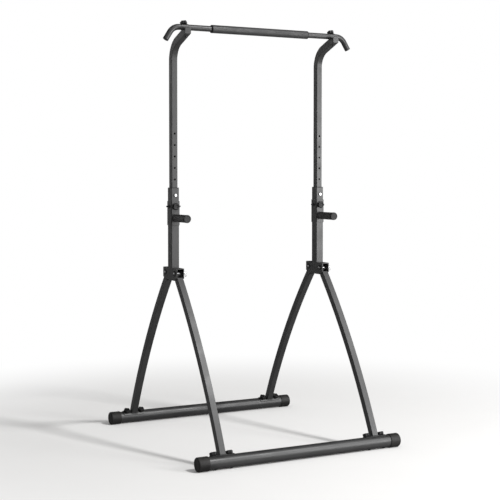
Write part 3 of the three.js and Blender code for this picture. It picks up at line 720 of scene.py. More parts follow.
beamTube = roundTube(station["beamRadius"], beamLook["wall"], -beamLook["half"], beamLook["half"],
                     beamLook["around"])
beamShape, capShape = moved([beamTube], turnY(quarterTurn)), capShells(capLook)
capReach = beamLook["half"] + capLook["floor"] + station["clear"] - capLook["length"]
for end, flip in ends:
    place = np.array((0, -flip * station["beamY"], station["beamZ"]))
    dress(f"base_beam_{end}", moved(beamShape, None, place))
    for side, sign in sides:
        shells = moved(capShape, turnY(sign * quarterTurn), place + (sign * capReach, 0, 0))
        for part in shells:  # the cap is pressed flat where it stands on the floor
            part["points"][..., 2] = np.maximum(part["points"][..., 2], 0)
        dress(f"beam_cap_{end}_{side}", shells)
print("beams and caps made")


# legs, each with its saddle and ears
legLook = {
    "width": 32.0, "depth": 34.5, "corner": 2.0, "wall": 2.0, "boreCorner": 0.6,
    "bowRadius": 3456.0, "sweep": math.radians(15.2), "steps": 40, "pinPast": 30.69,
    "pinOut": 11.85, "earRadius": 12.0, "earThickness": 2.0, "earFoot": 3.0, "earInset": 0.02,
    "earEdge": 0.35, "eye": 5.3, "bridgeAlong": (16.5, 20.5), "bridgeAcross": (-19.0, 4.0),
    "bridgeCorner": 0.8, "earSteps": 36, "edgeSteps": 10,
}
saddleLook = {
    "length": 120.0, "halfArc": math.radians(40), "inner": 30.3, "outer": 33.5, "corner": 7.0,
    "bead": 2.6, "ripple": 5.2, "swell": 0.13, "drift": 0.05, "driftLength": 7.3, "steps": 220,
    "section": 12, "tuckOut": 0.35, "tuckDown": 0.5,
}

# how high the beam's round is at the front and rear faces of a leg
legFoot = math.sqrt(station["beamRadius"] ** 2 - (legLook["depth"] / 2) ** 2)


# a rounded loop carried along the leg's arc, outside and inside; the first ring follows
# the saddle's round: z = root of (radius squared - y squared)
def legTube(look):
    places, headings = arcPath(
        (0, 0, legFoot), (0, 0, 1), (0, 1, 0), look["bowRadius"], look["sweep"], look["steps"]
    )
    outer = roundedLoop(look["width"], look["depth"], look["corner"])
    inner = grownLoop(look["width"], look["depth"], -look["wall"], look["boreCorner"])
    out, ins = (carried(loop, places, headings, (1, 0, 0)) for loop in (outer, inner))
    for grid in (out, ins):
        grid[0, :, 2] = np.sqrt(saddleLook["inner"] ** 2 - grid[0, :, 1] ** 2)
    points = np.concatenate([out, ins[::-1]])
    wear = np.zeros(points.shape[:2])
    wear[: len(out)] = edgeWear * cornerWear()
    wear[len(out) - 1] = 1
    return shell(points, True, wear)


# a weld bead round a loop on a curved plate: a lumpy quarter round, its size
# swelling and shrinking with the way along the loop
def footBead(look, tube):
    loop = roundedLoop(tube["width"], tube["depth"], tube["corner"], perCorner=12, lead=0.1)
    step = np.linalg.norm(np.roll(loop, -1, 0) - loop, axis=1)
    way = np.concatenate([[0], np.cumsum(step)])
    at = np.linspace(0, way[-1], look["steps"], endpoint=False)
    closed = np.concatenate([loop, loop[:1]])
    path = np.stack([np.interp(at, way, closed[:, k]) for k in range(2)], -1)
    ahead = np.roll(path, -1, 0) - np.roll(path, 1, 0)
    ahead /= np.linalg.norm(ahead, axis=1, keepdims=True)
    side = np.stack([ahead[:, 1], -ahead[:, 0]], -1)
    lumps = 1 + look["swell"] * np.cos(fullTurn * at / look["ripple"])
    lumps = lumps + look["drift"] * np.sin(at / look["driftLength"])
    angle = turnSteps(look["section"])[:, None]
    out = look["bead"] * lumps * np.maximum(np.cos(angle), -look["tuckOut"])
    rise = look["bead"] * lumps * np.maximum(np.sin(angle), -look["tuckDown"])
    flat = path[None] + side[None] * out[..., None]
    z = np.sqrt(look["outer"] ** 2 - flat[..., 1] ** 2) + rise
    return shell(np.concatenate([flat, z[..., None]], -1), True)


# the leg's end and the pin as the leg sees them
def legTop(look):
    along = np.array([math.sin(look["sweep"]), math.cos(look["sweep"])])
    across = np.array([along[1], -along[0]])
    end = look["bowRadius"] * np.array([1 - math.cos(look["sweep"]), math.sin(look["sweep"])])
    end = end + (0, legFoot)
    pin = end + look["pinPast"] * along - look["pinOut"] * across
    return end, pin, along, across


# an ear round the pin: the leg's width at its foot, a half circle about the pin on top;
# a plate joins the two ears under the pin
def legEars(look):
    end, pin, along, across = legTop(look)
    half = look["depth"] / 2 - look["corner"]
    foot = end - look["earFoot"] * along
    swing = np.linspace(0, math.pi, look["earSteps"])[:, None]
    arc = pin + look["earRadius"] * (np.cos(swing) * across + np.sin(swing) * along)
    share = np.linspace(0, 1, look["edgeSteps"])[1:-1, None]
    corners = [arc[-1], end - half * across, foot - half * across, foot + half * across,
               end + half * across, arc[0]]
    parts = [arc]
    for a, b in zip(corners[:-1], corners[1:]):
        parts += [a * (1 - share) + b * share, b[None]]
    outline = np.concatenate(parts)[:-1]
    reach, thickness = look["width"] / 2 - look["earInset"], look["earThickness"]
    ears = [holedPlate(outline, pin, look["eye"], x, thickness, look["earEdge"])
            for x in (-reach, reach - thickness)]
    (begin, finish), (inward, outward) = look["bridgeAlong"], look["bridgeAcross"]
    middle = end + (inward + outward) / 2 * across
    span = 2 * (reach - thickness) + station["overlap"]
    bridge = easedPlate(span, outward - inward, look["bridgeCorner"], (0, *middle), (0, *along),
                        begin, finish)
    return [*ears, bridge]


saddle = bentPlate(saddleLook["length"], saddleLook["halfArc"], saddleLook["inner"],
                   saddleLook["outer"], saddleLook["corner"])
legShape = [legTube(legLook), saddle, footBead(saddleLook, legLook), *legEars(legLook)]


# where a foot stands, as a turn and a shift from the beam's own frame
def footPlace(flip, sign):
    turn = turnX(-station["legTilt"]) @ turnZ(0 if flip > 0 else math.pi)
    return turn, (sign * station["postX"], -flip * station["beamY"], station["beamZ"])


for end, flip in ends:
    for side, sign in sides:
        dress(f"leg_{end}_{side}", moved(legShape, *footPlace(flip, sign)))
print("legs made")


# star knobs, the same on the feet, the sleeves and the bar; the dish in a knob's top is
# given as (radius, depth under the top)
knobLook = {
    "radius": 17.95, "lobe": 2.6, "lobes": 5, "height": 13.85, "edge": 2.4, "under": 8.0,
    "dish": ((0, 2.1), (5.6, 2.0), (6.2, 1.4), (7.4, 1.2), (8.4, 0.5), (9.6, 0.05)),
    "brim": 0.8, "skirt": 3.0, "draft": 0.2, "taper": 0.5, "foot": 1.0, "footTop": 1.2,
    "fadeFrom": 8.2, "fadeOver": 4.0, "bore": 4.6, "boreDepth": 10.0, "recess": 0.6,
    "bevel": 0.4, "studRadius": 4.0, "around": 120, "wear": 0.9,
}
threadLook = {"pitch": 1.25, "depth": 0.28, "perTurn": 4, "runOut": 0.8, "around": 28}


# a lobed turning: radius = profile radius + half the lobe depth * cos(lobes * angle),
# the lobes fading towards the middle
def starShell(look, bored):
    top, reach, edge = look["height"], look["radius"] - look["lobe"] / 2, look["edge"]
    foot, low = look["foot"], reach - look["taper"]
    dish = [(radius, top - depth) for radius, depth in look["dish"]]
    outer = np.concatenate([
        dish, [(reach - edge - look["brim"], top)],
        arcOf((reach - edge, top - edge), edge, 90, 0, 7),
        [(reach, top - edge - foot), (reach - look["draft"], look["skirt"])],
        [(low, look["footTop"])],
        arcOf((low - foot, foot), foot, 0, -90, 4),
    ])
    bore, recess, under, bevel = (look[k] for k in ("bore", "recess", "under", "bevel"))
    inner = [(under, 0), (0, 0)]
    if bored:
        inner = [(under, 0), (under - bevel, recess), (bore + bevel, recess),
                 (bore, recess + bevel), (bore, look["boreDepth"]), (0, look["boreDepth"])]
    profile = np.concatenate([outer, inner])
    angle = turnSteps(look["around"])
    fade = np.clip((profile[:, 0] - look["fadeFrom"]) / look["fadeOver"], 0, 1)[:, None]
    radius = profile[:, 0, None] + fade * look["lobe"] / 2 * np.cos(look["lobes"] * angle)
    wear = np.zeros((len(profile), 1))
    wear[6:13] = look["wear"]  # round the rim of the top
    return shell(aboutZ(radius, angle, profile[:, 1, None]), False, wear)


# a thread's radius at each height: it rises and falls once each pitch
def threadAt(radius, height, look):
    half = look["depth"] / 2
    return np.stack([radius - half + half * np.cos(fullTurn * height / look["pitch"]), height], -1)


# a threaded stud that starts inside the knob and comes out of its back
def studShell(radius, length, thread, root=1.0):
    count, runOut = int(length / thread["pitch"] * thread["perTurn"]), thread["runOut"]
    profile = np.concatenate([
        [(0, root), (radius - thread["depth"], root)],
        threadAt(radius, np.linspace(root / 2, runOut - length, count), thread),
        [(radius - runOut, -length), (0, -length)],
    ])
    return turned(profile, thread["around"], paint=1)


boltLook = {
    "head": 8.0, "height": 3.5, "spread": 41.0, "shank": 3.9, "grip": 6.5, "bevel": 0.6,
    "around": 40,
}
saddleSeat = saddleLook["outer"] + station["clear"]


# a low domed head under the beam with a shank up into the knob
def boltShells(look):
    seat = -station["beamRadius"] - station["clear"]
    end, shank = saddleSeat + look["grip"], look["shank"]
    dome = arcOf((0, 0), 1, -90, -8, 10) * (look["head"], look["height"]) + (0, seat)
    profile = np.concatenate([
        dome, [(look["head"], seat), (shank, seat), (shank, end - look["bevel"]),
               (shank - look["bevel"], end), (0, end)],
    ])
    return [turned(profile, look["around"])]


footKnob, footBolt = [starShell(knobLook, True)], boltShells(boltLook)
for end, flip in ends:
    for side, sign in sides:
        for place, bolt in (("outer", sign * flip), ("inner", -sign * flip)):
            aside = bolt * boltLook["spread"]
            for name, shape, rise in (("knob", footKnob, saddleSeat), ("bolt", footBolt, 0)):
                standing = moved(shape, None, (aside, 0, rise))
                dress(f"foot_{name}_{end}_{side}_{place}", moved(standing, *footPlace(flip, sign)))
print("foot knobs and bolts made")


# lower posts with their brackets and collars
postLook = {
    "width": 40.0, "depth": 50.0, "corner": 2.0, "wall": 2.0, "low": 825.0, "high": 1284.0,
    "bracketTop": 887.0, "bracketRadii": (0.5, 0.5, 3.0, 4.0, 5.0), "reach": 61.0,
    "chamfer": 14.0, "cheek": 3.6, "cheekEdge": 0.45, "eye": 5.3, "webDrop": 0.05,
    "webCorner": 1.0, "bead": 2.2, "beadShort": 3.0, "ripple": 4.6, "swell": 0.12, "taper": 2.5,
    "leastEase": 0.05, "beadSteps": 90, "beadSection": 14,
}
collarLook = {
    "flange": 3.0, "depth": 60.0, "boreWidth": 30.6, "boreDepth": 37.6, "boreCorner": 1.2,
    "insertCorner": 0.8, "corner": 2.2, "edge": 0.4, "round": 1.0,
}


# a straight weld bead that stands on Z in an inside corner, its size in ripples
def standingBead(x, y, look):
    low, high = look["low"] + look["beadShort"], look["bracketTop"] - look["beadShort"]
    height = np.linspace(low, high, look["beadSteps"])
    ease = np.minimum(height - low, high - height) / look["taper"]
    ease = np.clip(ease, look["leastEase"], 1) ** 0.5
    size = look["bead"] * ease * (1 + look["swell"] * np.cos(fullTurn * height / look["ripple"]))
    points = aboutZ(size[:, None], turnSteps(look["beadSection"]), height[:, None]) + (x, y, 0)
    return shell(capped(points))


# the post, with a bracket of two cheeks, two beads and a web on its front and its rear
def lowerPostShells(look):
    low, top, cheek = look["low"], look["bracketTop"], look["cheek"]
    half, face, inner = look["width"] / 2, look["depth"] / 2, look["width"] / 2 - look["cheek"]
    post = standingTube(look["width"], look["depth"], look["corner"], look["wall"], low,
                        look["high"])
    back, front, chamfer = look["wall"] - face, -face - look["reach"], look["chamfer"]
    corners = [(back, low), (back, top), (front, top), (front, low + chamfer),
               (front + 2 * chamfer, low)]
    outline = roundedPolygon(corners, look["bracketRadii"])
    centre = (-station["pinY"], station["pinZ"])
    bracket = [holedPlate(outline, centre, look["eye"], x, cheek, look["cheekEdge"])
               for x in (-half, inner)]
    overlap = station["overlap"]
    bracket += [standingBead(sign * (inner - overlap), overlap - face, look) for sign in (-1, 1)]
    webTop = top - look["webDrop"]
    bracket.append(easedPlate(
        2 * inner + overlap, look["reach"], look["webCorner"], (0, -face - look["reach"] / 2, 0),
        (0, 0, 1), webTop - cheek, webTop,
    ))
    return [post, *bracket, *moved(bracket, turnZ(math.pi))]


# the collar's rows: up the outside of the insert, out round the flange, down the bore;
# each is (grow, corner, height, wear)
def collarShells(look, post):
    insert, insertCorner = post["wall"] + station["clear"], look["insertCorner"]
    low, seat = post["high"] - look["depth"], post["high"] + station["clear"]
    high, corner, edge, bend = (post["high"] + look["flange"], look["corner"], look["edge"],
                                look["round"])
    outside = [
        (-insert, insertCorner, low, 0), (-insert, insertCorner, seat, 0),
        (-edge, corner - edge, seat, 0.4), (0, corner, seat + edge, 0.7),
        (0, corner, high - bend, 1), (-0.3 * bend, corner - 0.2 * bend, high - 0.3 * bend, 1),
        (-bend, corner - 0.8 * bend, high, 0.7),
    ]
    bore = [(0.7 * bend, high, 0.4), (0.15 * bend, high - 0.3 * bend, 0.4),
            (0, high - 0.9 * bend, 0), (0, low, 0)]
    rows = [(post["width"], post["depth"], *row) for row in outside]
    rows += [(look["boreWidth"], look["boreDepth"], grow, look["boreCorner"] + grow, z, w)
             for grow, z, w in bore]
    loops = [(grownLoop(*row[:4]), row[4]) for row in rows]
    points = np.stack([np.concatenate([p, np.full((len(p), 1), z)], 1) for p, z in loops])
    return [shell(points, True, np.array([row[-1] for row in rows], float)[:, None])]


lowerPost, collar = lowerPostShells(postLook), collarShells(collarLook, postLook)
for side, sign in sides:
    place = (sign * station["postX"], 0, 0)
    dress(f"lower_post_{side}", moved(lowerPost, None, place))
    dress(f"post_collar_{side}", moved(collar, None, place))
print("lower posts made")


# hinge pins, their rings and the lock pins
pinLook = {
    "radius": 5.0, "disc": 14.0, "discThick": 1.2, "stub": 3.3, "tail": 46.3, "seat": 20.3,
    "round": 1.0, "bevel": 0.5, "discEdge": 0.3, "discRound": 0.6, "discGap": 0.02,
    "dimple": 1.6, "dimpleFoot": 1.0, "endWear": (0.6, 0.8), "rimWear": 0.9,
    "holeX": 40.3, "holeRadius": 2.6, "holeReach": 9.0, "ringRadius": 9.0, "ringWire": 1.2,
    "ringDrop": 8.05, "ringAround": 56, "ringSection": 14, "around": 48, "discAround": 64,
    "lead": 0.2,
}
lockLook = {
    "radius": 4.5, "head": 7.5, "headHeight": 5.0, "height": 1248.4, "nose": 18.8, "face": 25.3,
    "noseBevel": 0.8, "headRound": 2.0, "headEdge": 0.5, "lead": 0.2, "crown": 1.2,
    "crownDrop": 0.05, "dimple": 2.4, "dimpleFoot": 1.6, "dimpleDepth": 0.5, "dimpleSag": 0.1,
    "around": 56,
}


# a pin along Z: a rounded tail, a shank, a black disc with a bright middle in front of it
def pinShells(look):
    r, bevel, tail, end = look["radius"], look["bevel"], look["tail"], look["round"]
    seat, front = -look["seat"], -look["seat"] - look["discThick"]
    tip = front - look["stub"]
    shank = np.concatenate([
        [(0, tip)], arcOf((r - bevel, tip + bevel), bevel, -90, 0, 4),
        [(r, front), (r, tail - end - look["lead"])],
        arcOf((r - end, tail - end), end, 0, 90, 5), [(0, tail)],
    ])
    wear = np.zeros(len(shank))
    wear[1:5], wear[-6:-1] = look["endWear"]
    d, edge, bend, bore = look["disc"], look["discEdge"], look["discRound"], r + look["discGap"]
    disc = np.concatenate([
        [(bore, seat), (d - edge, seat)], arcOf((d - edge, seat - edge), edge, 90, 0, 4),
        arcOf((d - bend, front + bend), bend, 0, -90, 5),
        [(r + look["dimple"], front), (r + look["dimpleFoot"], front + edge), (bore, front + edge)],
    ])
    worn = np.zeros(len(disc))
    worn[2:11] = look["rimWear"]
    return [turned(shank, look["around"], wear=wear),
            turned(disc, look["discAround"], True, worn, 1)]


# a ring of wire about Z: a small circle carried round a large one, its size in lumps
def wireRing(radius, wire, around, section, height=0.0, lumps=0, swell=0.0):
    way, angle = turnSteps(around)[:, None], turnSteps(section)[None, :]
    size = wire * (1 + swell * np.cos(lumps * way))
    return shell(aboutZ(radius + size * np.cos(angle), way, height + size * np.sin(angle)), True)


# a lock pin along Z: a nose with a bevel, a shank, a round head with a dimple
def lockPinShells(look):
    face, high, head = look["face"], look["face"] + look["headHeight"], look["head"]
    r, nose, bevel = look["radius"], look["nose"], look["noseBevel"]
    bend, edge, deep = look["headRound"], look["headEdge"], look["dimpleDepth"]
    profile = np.concatenate([
        [(0, nose), (r - bevel, nose), (r, nose + bevel), (r, face), (head - edge, face)],
        arcOf((head - edge, face + edge), edge, -90, 0, 4),
        [(head, high - bend - look["lead"])], arcOf((head - bend, high - bend), bend, 0, 80, 7),
        [(head - bend - look["crown"], high - look["crownDrop"]), (look["dimple"], high)],
        [(look["dimpleFoot"], high - deep), (0, high - deep - look["dimpleSag"])],
    ])
    return [turned(profile, look["around"])]


# takes the cutters' room out of a shape; the objects that do it are removed again
def cutMesh(name, shape, cutters, sharp=creaseAngle):
    body = put("cutBody", asMesh(name, shape))
    tools = [put("cutter", asMesh("cutter", cutter)) for cutter in cutters]
    for tool in tools:
        cut = body.modifiers.new("cut", "BOOLEAN")
        cut.operation = "DIFFERENCE"
        cut.solver = "EXACT"
        cut.object = tool
    graph = bpy.context.evaluated_depsgraph_get()
    result = bpy.data.meshes.new_from_object(body.evaluated_get(graph))
    paints = np.empty(len(result.polygons), np.int32)
    result.polygons.foreach_get("material_index", paints)
    result.materials.clear()
    result.polygons.foreach_set("material_index", paints)
    result.set_sharp_from_angle(angle=sharp)
    for made in [body, *tools]:
        bpy.data.objects.remove(made)
    return result


# a copy of a mesh, its points moved
def shiftedMesh(mesh, shift):
    made = mesh.copy()
    places = np.empty(len(made.vertices) * 3)
    made.vertices.foreach_get("co", places)
    places = places.reshape(-1, 3) + np.asarray(shift, float) * millimetre
    made.vertices.foreach_set("co", places.ravel())
    made.update()
    return made


# a plain rod about Z with closed ends
def rodShell(radius, low, high, around=32):
    return turned([(0, low), (radius, low), (radius, high), (0, high)], around)


holeReach = pinLook["holeReach"]
crossHole = moved([rodShell(pinLook["holeRadius"], -holeReach, holeReach)], turnX(quarterTurn),
                  (pinLook["holeX"], 0, 0))
pinMesh = cutMesh("hingePin", moved(pinShells(pinLook), turnY(quarterTurn)), [crossHole])
flatRing = wireRing(pinLook["ringRadius"], pinLook["ringWire"], pinLook["ringAround"],
                    pinLook["ringSection"])
uprightTurn = np.roll(np.eye(3), 1, axis=1)  # a ring about Z becomes a ring about X
pinRing = moved([flatRing], uprightTurn, (pinLook["holeX"], 0, -pinLook["ringDrop"]))
lockPin = moved(lockPinShells(lockLook), turnX(quarterTurn), (0, 0, lockLook["height"]))
for side, sign in sides:
    for end, flip in ends:
        place = (sign * station["postX"], -flip * station["pinY"], station["pinZ"])
        dress(f"hinge_pin_{end}_{side}", shiftedMesh(pinMesh, place), "black_plastic")
        dress(f"pin_ring_{end}_{side}", moved(pinRing, None, place))
    dress(f"post_lock_pin_{side}", moved(lockPin, None, (sign * station["postX"], 0, 0)))
print("pins and rings made")


# upper posts with their bent arms
upperLook = {
    "width": 30.0, "depth": 37.0, "corner": 1.6, "wall": 2.0, "low": 1136.0, "bendStart": 1918.0,
    "bendRadius": 97.0, "bend": math.radians(70), "nose": 184.0, "stop": 3.0, "stopRise": 8.4,
    "seat": 2053.79, "studHole": 4.3, "holeRadius": 5.0, "lowHole": 1328.0, "pitch": 57.0,
    "holes": 5, "crease": math.radians(28), "bendSteps": 28,
}
cutLook = {  # how far the cutters reach past the post, and where the holes begin and end
    "past": 90.0, "under": 6.0, "over": 5.0, "holeFrom": 8.0, "holeTo": 26.0, "studReach": 70.0,
}


# the post's middle line: straight up, round the bend, straight out to the nose
def upperPath(look, low, nose):
    bend, headings = arcPath((0, 0, look["bendStart"]), (0, 0, 1), (0, -1, 0),
                             look["bendRadius"], look["bend"], look["bendSteps"])
    last, out = bend[-1], headings[-1]
    stretch = (nose + last[1]) / -out[1]
    places = np.concatenate([[(0, 0, low)], bend, [last + out * stretch]])
    headings = np.concatenate([[(0, 0, 1)], headings, [out]])
    return places, headings


# the post's outline, drawn in by the inset, carried along its middle line
def sweptBlock(look, inset, low, nose):
    places, headings = upperPath(look, low, nose)
    corner = max(look["corner"] - inset, leastCorner)
    loop = grownLoop(look["width"], look["depth"], -inset, corner)
    points = capped(carried(loop, places, headings, (1, 0, 0)))
    wear = np.zeros(len(loop)) if inset else edgeWear * cornerWear()
    return shell(points, False, np.broadcast_to(wear, points.shape[:2]))


# a box as a closed shell of four columns
def boxShell(low, high):
    (x0, y0, z0), (x1, y1, z1) = low, high
    ring = np.array([(x0, y0), (x1, y0), (x1, y1), (x0, y1)], float)
    rows = [np.concatenate([ring, np.full((4, 1), z)], 1) for z in (z0, z1)]
    return shell(capped(np.stack(rows)))


# the bent post as a solid block, less the bore, the room over the bar's seat, the room
# past the nose, the room over the stop plate, the row of holes and the stud's hole
def upperPostMesh(look, cuts):
    seat, nose, wide, bendStart = look["seat"], look["nose"], look["width"], look["bendStart"]
    far, high, inside = nose + cuts["past"], seat + cuts["past"], nose - look["stop"]
    tip = nose + look["depth"]
    bore = cutMesh("bore", [sweptBlock(look, look["wall"], look["low"] - cuts["under"], tip)], [
        [boxShell((-wide, -far, bendStart), (wide, -inside, high))],
        [boxShell((-wide, -far, seat - look["wall"]), (wide, 0, high))],
    ])
    heights = [look["lowHole"] + k * look["pitch"] for k in range(look["holes"])]
    holes = [part for z in [*heights, lockLook["height"]]
             for part in moved([rodShell(look["holeRadius"], cuts["holeFrom"], cuts["holeTo"])],
                               turnX(quarterTurn), (0, 0, z))]
    stud = moved([rodShell(look["studHole"], -cuts["studReach"], 0)], turnX(leanTurn),
                 (0, station["barY"], station["barZ"]))
    return cutMesh("upperPost", [sweptBlock(look, 0, look["low"], tip)], [
        [boxShell((-wide, -inside, seat), (wide, 0, high))],
        [boxShell((-wide, -far, bendStart), (wide, -nose, high))],
        [boxShell((-wide, -far, seat + look["stopRise"]), (wide, 0, high + cuts["over"]))],
        bore, holes, stud,
    ], look["crease"])


upperPost = upperPostMesh(upperLook, cutLook)
for side, sign in sides:
    dress(f"upper_post_{side}", shiftedMesh(upperPost, (sign * station["postX"], 0, 0)))
print("upper posts made")


# pull-up bar with its grip, caps and knobs
barLook = {
    "radius": 14.3, "wall": 2.0, "straight": 892.0, "bendRadius": 56.0, "bend": math.radians(58),
    "tip": 42.5, "padLength": 40.0, "padOuter": 15.9, "padArc": math.radians(110),
    "padCorner": 2.0, "padEdge": 0.4, "capDepth": 14.0, "capFlange": 2.0, "capRound": 1.4,
    "capBevel": 0.8, "capEdge": 0.3, "capCrown": 3.5, "capRise": (0.1, 0.35), "capWear": 0.7,
    "studPast": 4.0, "bendSteps": 26, "around": 64, "capAround": 56,
}
barGripLook = {
    "radius": 20.0, "inner": 14.6, "low": -274.0, "high": 274.0, "rim": 3.0, "ring": 6.0,
    "around": 80,
}


# a round tube carried along the bar's line: level, round the bend and down to the tip
def barShells(look):
    bend, headings = arcPath((look["straight"] / 2, 0, 0), (1, 0, 0), (0, 0, -1),
                             look["bendRadius"], look["bend"], look["bendSteps"])
    tip = bend[-1] + headings[-1] * look["tip"]
    half = np.concatenate([bend, [tip]])
    ahead = np.concatenate([headings, headings[-1:]])
    places = np.concatenate([half[::-1] * (-1, 1, 1), half])
    ahead = np.concatenate([ahead[::-1] * (1, 1, -1), ahead])
    angle = turnSteps(look["around"])
    ring = np.stack([np.cos(angle), np.sin(angle)], -1)
    out, ins = (carried(ring * radius, places, ahead, (0, 1, 0))
                for radius in (look["radius"], look["radius"] - look["wall"]))
    wear = np.zeros((2 * len(places), 1))
    wear[[0, len(places) - 1]] = 1
    tube = shell(np.concatenate([out, ins[::-1]]), True, wear)
    pad = bentPlate(look["padLength"], look["padArc"], look["radius"], look["padOuter"],
                    look["padCorner"], look["padEdge"])
    pads = [part for sign in (-1, 1)
            for part in moved([pad], turnX(leanTurn), (sign * station["postX"], 0, 0))]
    return [tube, *pads], tip, headings[-1]


# a foam tube about Z with rounded rims and a firmer ring at both ends
def gripShells(look, gap=0.15):
    radius, inner, rim, ring = look["radius"], look["inner"], look["rim"], look["ring"]
    low, high = look["low"], look["high"]

    # one band of foam from height a to height b
    def part(a, b, roundLow, roundHigh, paint):
        lowArc = arcOf((radius - rim, a + rim), rim, -90, 0, 7) if roundLow else [(radius, a)]
        highArc = arcOf((radius - rim, b - rim), rim, 0, 90, 7) if roundHigh else [(radius, b)]
        profile = np.concatenate([[(inner, a)], lowArc, highArc, [(inner, b)]])
        return turned(profile, look["around"], True, 0.0, paint)

    return [
        part(low, low + ring, True, False, 1),
        part(low + ring + gap, high - ring - gap, False, False, 0),
        part(high - ring, high, False, True, 1),
    ]


# a plug about Z in the tube's end, with a rounded flange over the rim
def plugShells(look, clear):
    radius, depth, bend = look["radius"], look["capDepth"], look["capRound"]
    plug, top = radius - look["wall"] - clear, clear + look["capFlange"]
    bevel, edge, (near, middle) = look["capBevel"], look["capEdge"], look["capRise"]
    profile = np.concatenate([
        [(0, -depth), (plug - bevel, -depth), (plug, bevel - depth), (plug, clear)],
        [(radius - edge, clear), (radius, clear + edge)],
        arcOf((radius - bend, top - bend), bend, 0, 90, 6),
        [(radius - look["capCrown"], top - near), (0, top - middle)],
    ])
    wear = np.zeros(len(profile))
    wear[6:12] = look["capWear"]  # round the flange
    return [turned(profile, look["capAround"], wear=wear)]


barShape, barTip, tipHeading = barShells(barLook)
barPlace = (0, station["barY"], station["barZ"])
dress("pull_up_bar", moved(barShape, None, barPlace))
dress("bar_grip", moved(gripShells(barGripLook), turnY(quarterTurn), barPlace), "black_plastic")
barCap = plugShells(barLook, station["clear"])
knobSeat = barLook["padOuter"] + station["clear"]
studLength = knobSeat + barLook["radius"] + upperLook["depth"] + barLook["studPast"]
barKnob = [starShell(knobLook, False), studShell(knobLook["studRadius"], studLength, threadLook)]
for side, sign in sides:
    turn = turnY(sign * math.atan2(tipHeading[0], tipHeading[2]))
    dress(f"bar_cap_{side}", moved(barCap, turn, np.add(barPlace, barTip * (sign, 1, 1))))
    knob = moved(moved(barKnob, None, (0, 0, knobSeat)), turnX(leanTurn),
                 np.add(barPlace, (sign * station["postX"], 0, 0)))
    dress(f"bar_knob_{side}", knob, "dark_bolt")
print("pull-up bar made")


# dip handles on their sliding sleeves; the dish in a cap's end is given as (distance
# from the cap's rim, depth under its top)
sleeveLook = {
    "width": 46.0, "depth": 56.0, "corner": 4.5, "wall": 2.5, "rim": 0.7, "low": 1099.0,
    "high": 1220.0, "knobZ": 1193.0, "stud": 3.0, "handleZ": 1135.5, "tube": 14.0,
    "tubeWall": 2.0, "tubeRoot": 1.0, "reach": 171.0, "capRadius": 20.0, "capFlange": 9.0,
    "capDepth": 16.0, "capRound": 2.4, "capBevel": 0.8, "capEdge": 0.6, "capWear": 0.8,
    "capDish": ((4.2, 0), (5.0, 0.5), (5.8, 1.1), (20.0, 1.3)), "bead": 1.9, "beadOut": 0.2,
    "beadUp": 0.1, "ripple": 4.4, "swell": 0.13, "tubeAround": 64, "beadAround": 160,
    "beadSection": 12, "capAround": 80,
}
gripEnd = sleeveLook["reach"] - sleeveLook["capFlange"] - station["clear"]
dipGripLook = {
    "radius": 19.3, "inner": 14.3, "low": 31.0, "high": gripEnd, "rim": 2.4, "ring": 4.0,
    "around": 80,
}
screwLook = {
    "radius": 4.0, "shank": 3.9, "tip": 20.3, "washer": 6.5, "head": 4.0, "past": 10.7,
    "endRadius": 3.2, "edge": 0.3, "bevel": 0.6, "runIn": 0.4, "runOut": 0.9, "steps": 32,
    "around": 40,
}


# the sleeve, the handle's tube and a rippled ring of weld where the two meet
def sleeveShells(look):
    sleeve = standingTube(look["width"], look["depth"], look["corner"], look["wall"], look["low"],
                          look["high"], look["rim"])
    face, root = look["depth"] / 2, look["tube"] + look["beadOut"]
    tube = roundTube(look["tube"], look["tubeWall"], face - look["tubeRoot"], gripEnd,
                     look["tubeAround"])
    lumps = round(fullTurn * root / look["ripple"])
    bead = wireRing(root, look["bead"], look["beadAround"], look["beadSection"],
                    face + look["beadUp"], lumps, look["swell"])
    return [sleeve] + moved([tube, bead], turnX(quarterTurn), (0, 0, look["handleZ"]))


# the end disc: a rounded rim round a shallow dish, with its plug in the tube
def dipCapShells(look):
    inner = look["tube"] - look["tubeWall"] - station["clear"]
    top, r, bend = look["reach"], look["capRadius"], look["capRound"]
    face, low = top - look["capFlange"], top - look["capFlange"] - look["capDepth"]
    bevel, edge = look["capBevel"], look["capEdge"]
    profile = np.concatenate([
        [(0, low), (inner - bevel, low), (inner, low + bevel), (inner, face), (r - edge, face)],
        [(r, face + edge)], arcOf((r - bend, top - bend), bend, 0, 90, 8),
        [(r - inward, top - depth) for inward, depth in look["capDish"]],
    ])
    wear = np.zeros(len(profile))
    wear[6:15] = look["capWear"]  # round the rim
    return [turned(profile, look["capAround"], wear=wear)]


# a short side screw: a round washer head and a threaded end outside it
def sideScrewShells(look, sleeve, thread):
    seat, shank, washer = sleeve["width"] / 2 + station["clear"], look["shank"], look["washer"]
    shoulder, edge, bevel = seat + look["head"], look["edge"], look["bevel"]
    end = shoulder + look["past"]
    height = np.linspace(shoulder + look["runIn"], end - look["runOut"], look["steps"])
    profile = np.concatenate([
        [(0, look["tip"]), (shank, look["tip"]), (shank, seat), (washer - edge, seat)],
        [(washer, seat + edge), (washer, shoulder - bevel), (washer - bevel, shoulder)],
        [(shank, shoulder)], threadAt(look["radius"], height, thread),
        [(look["endRadius"], end), (0, end)],
    ])
    return [turned(profile, look["around"])]


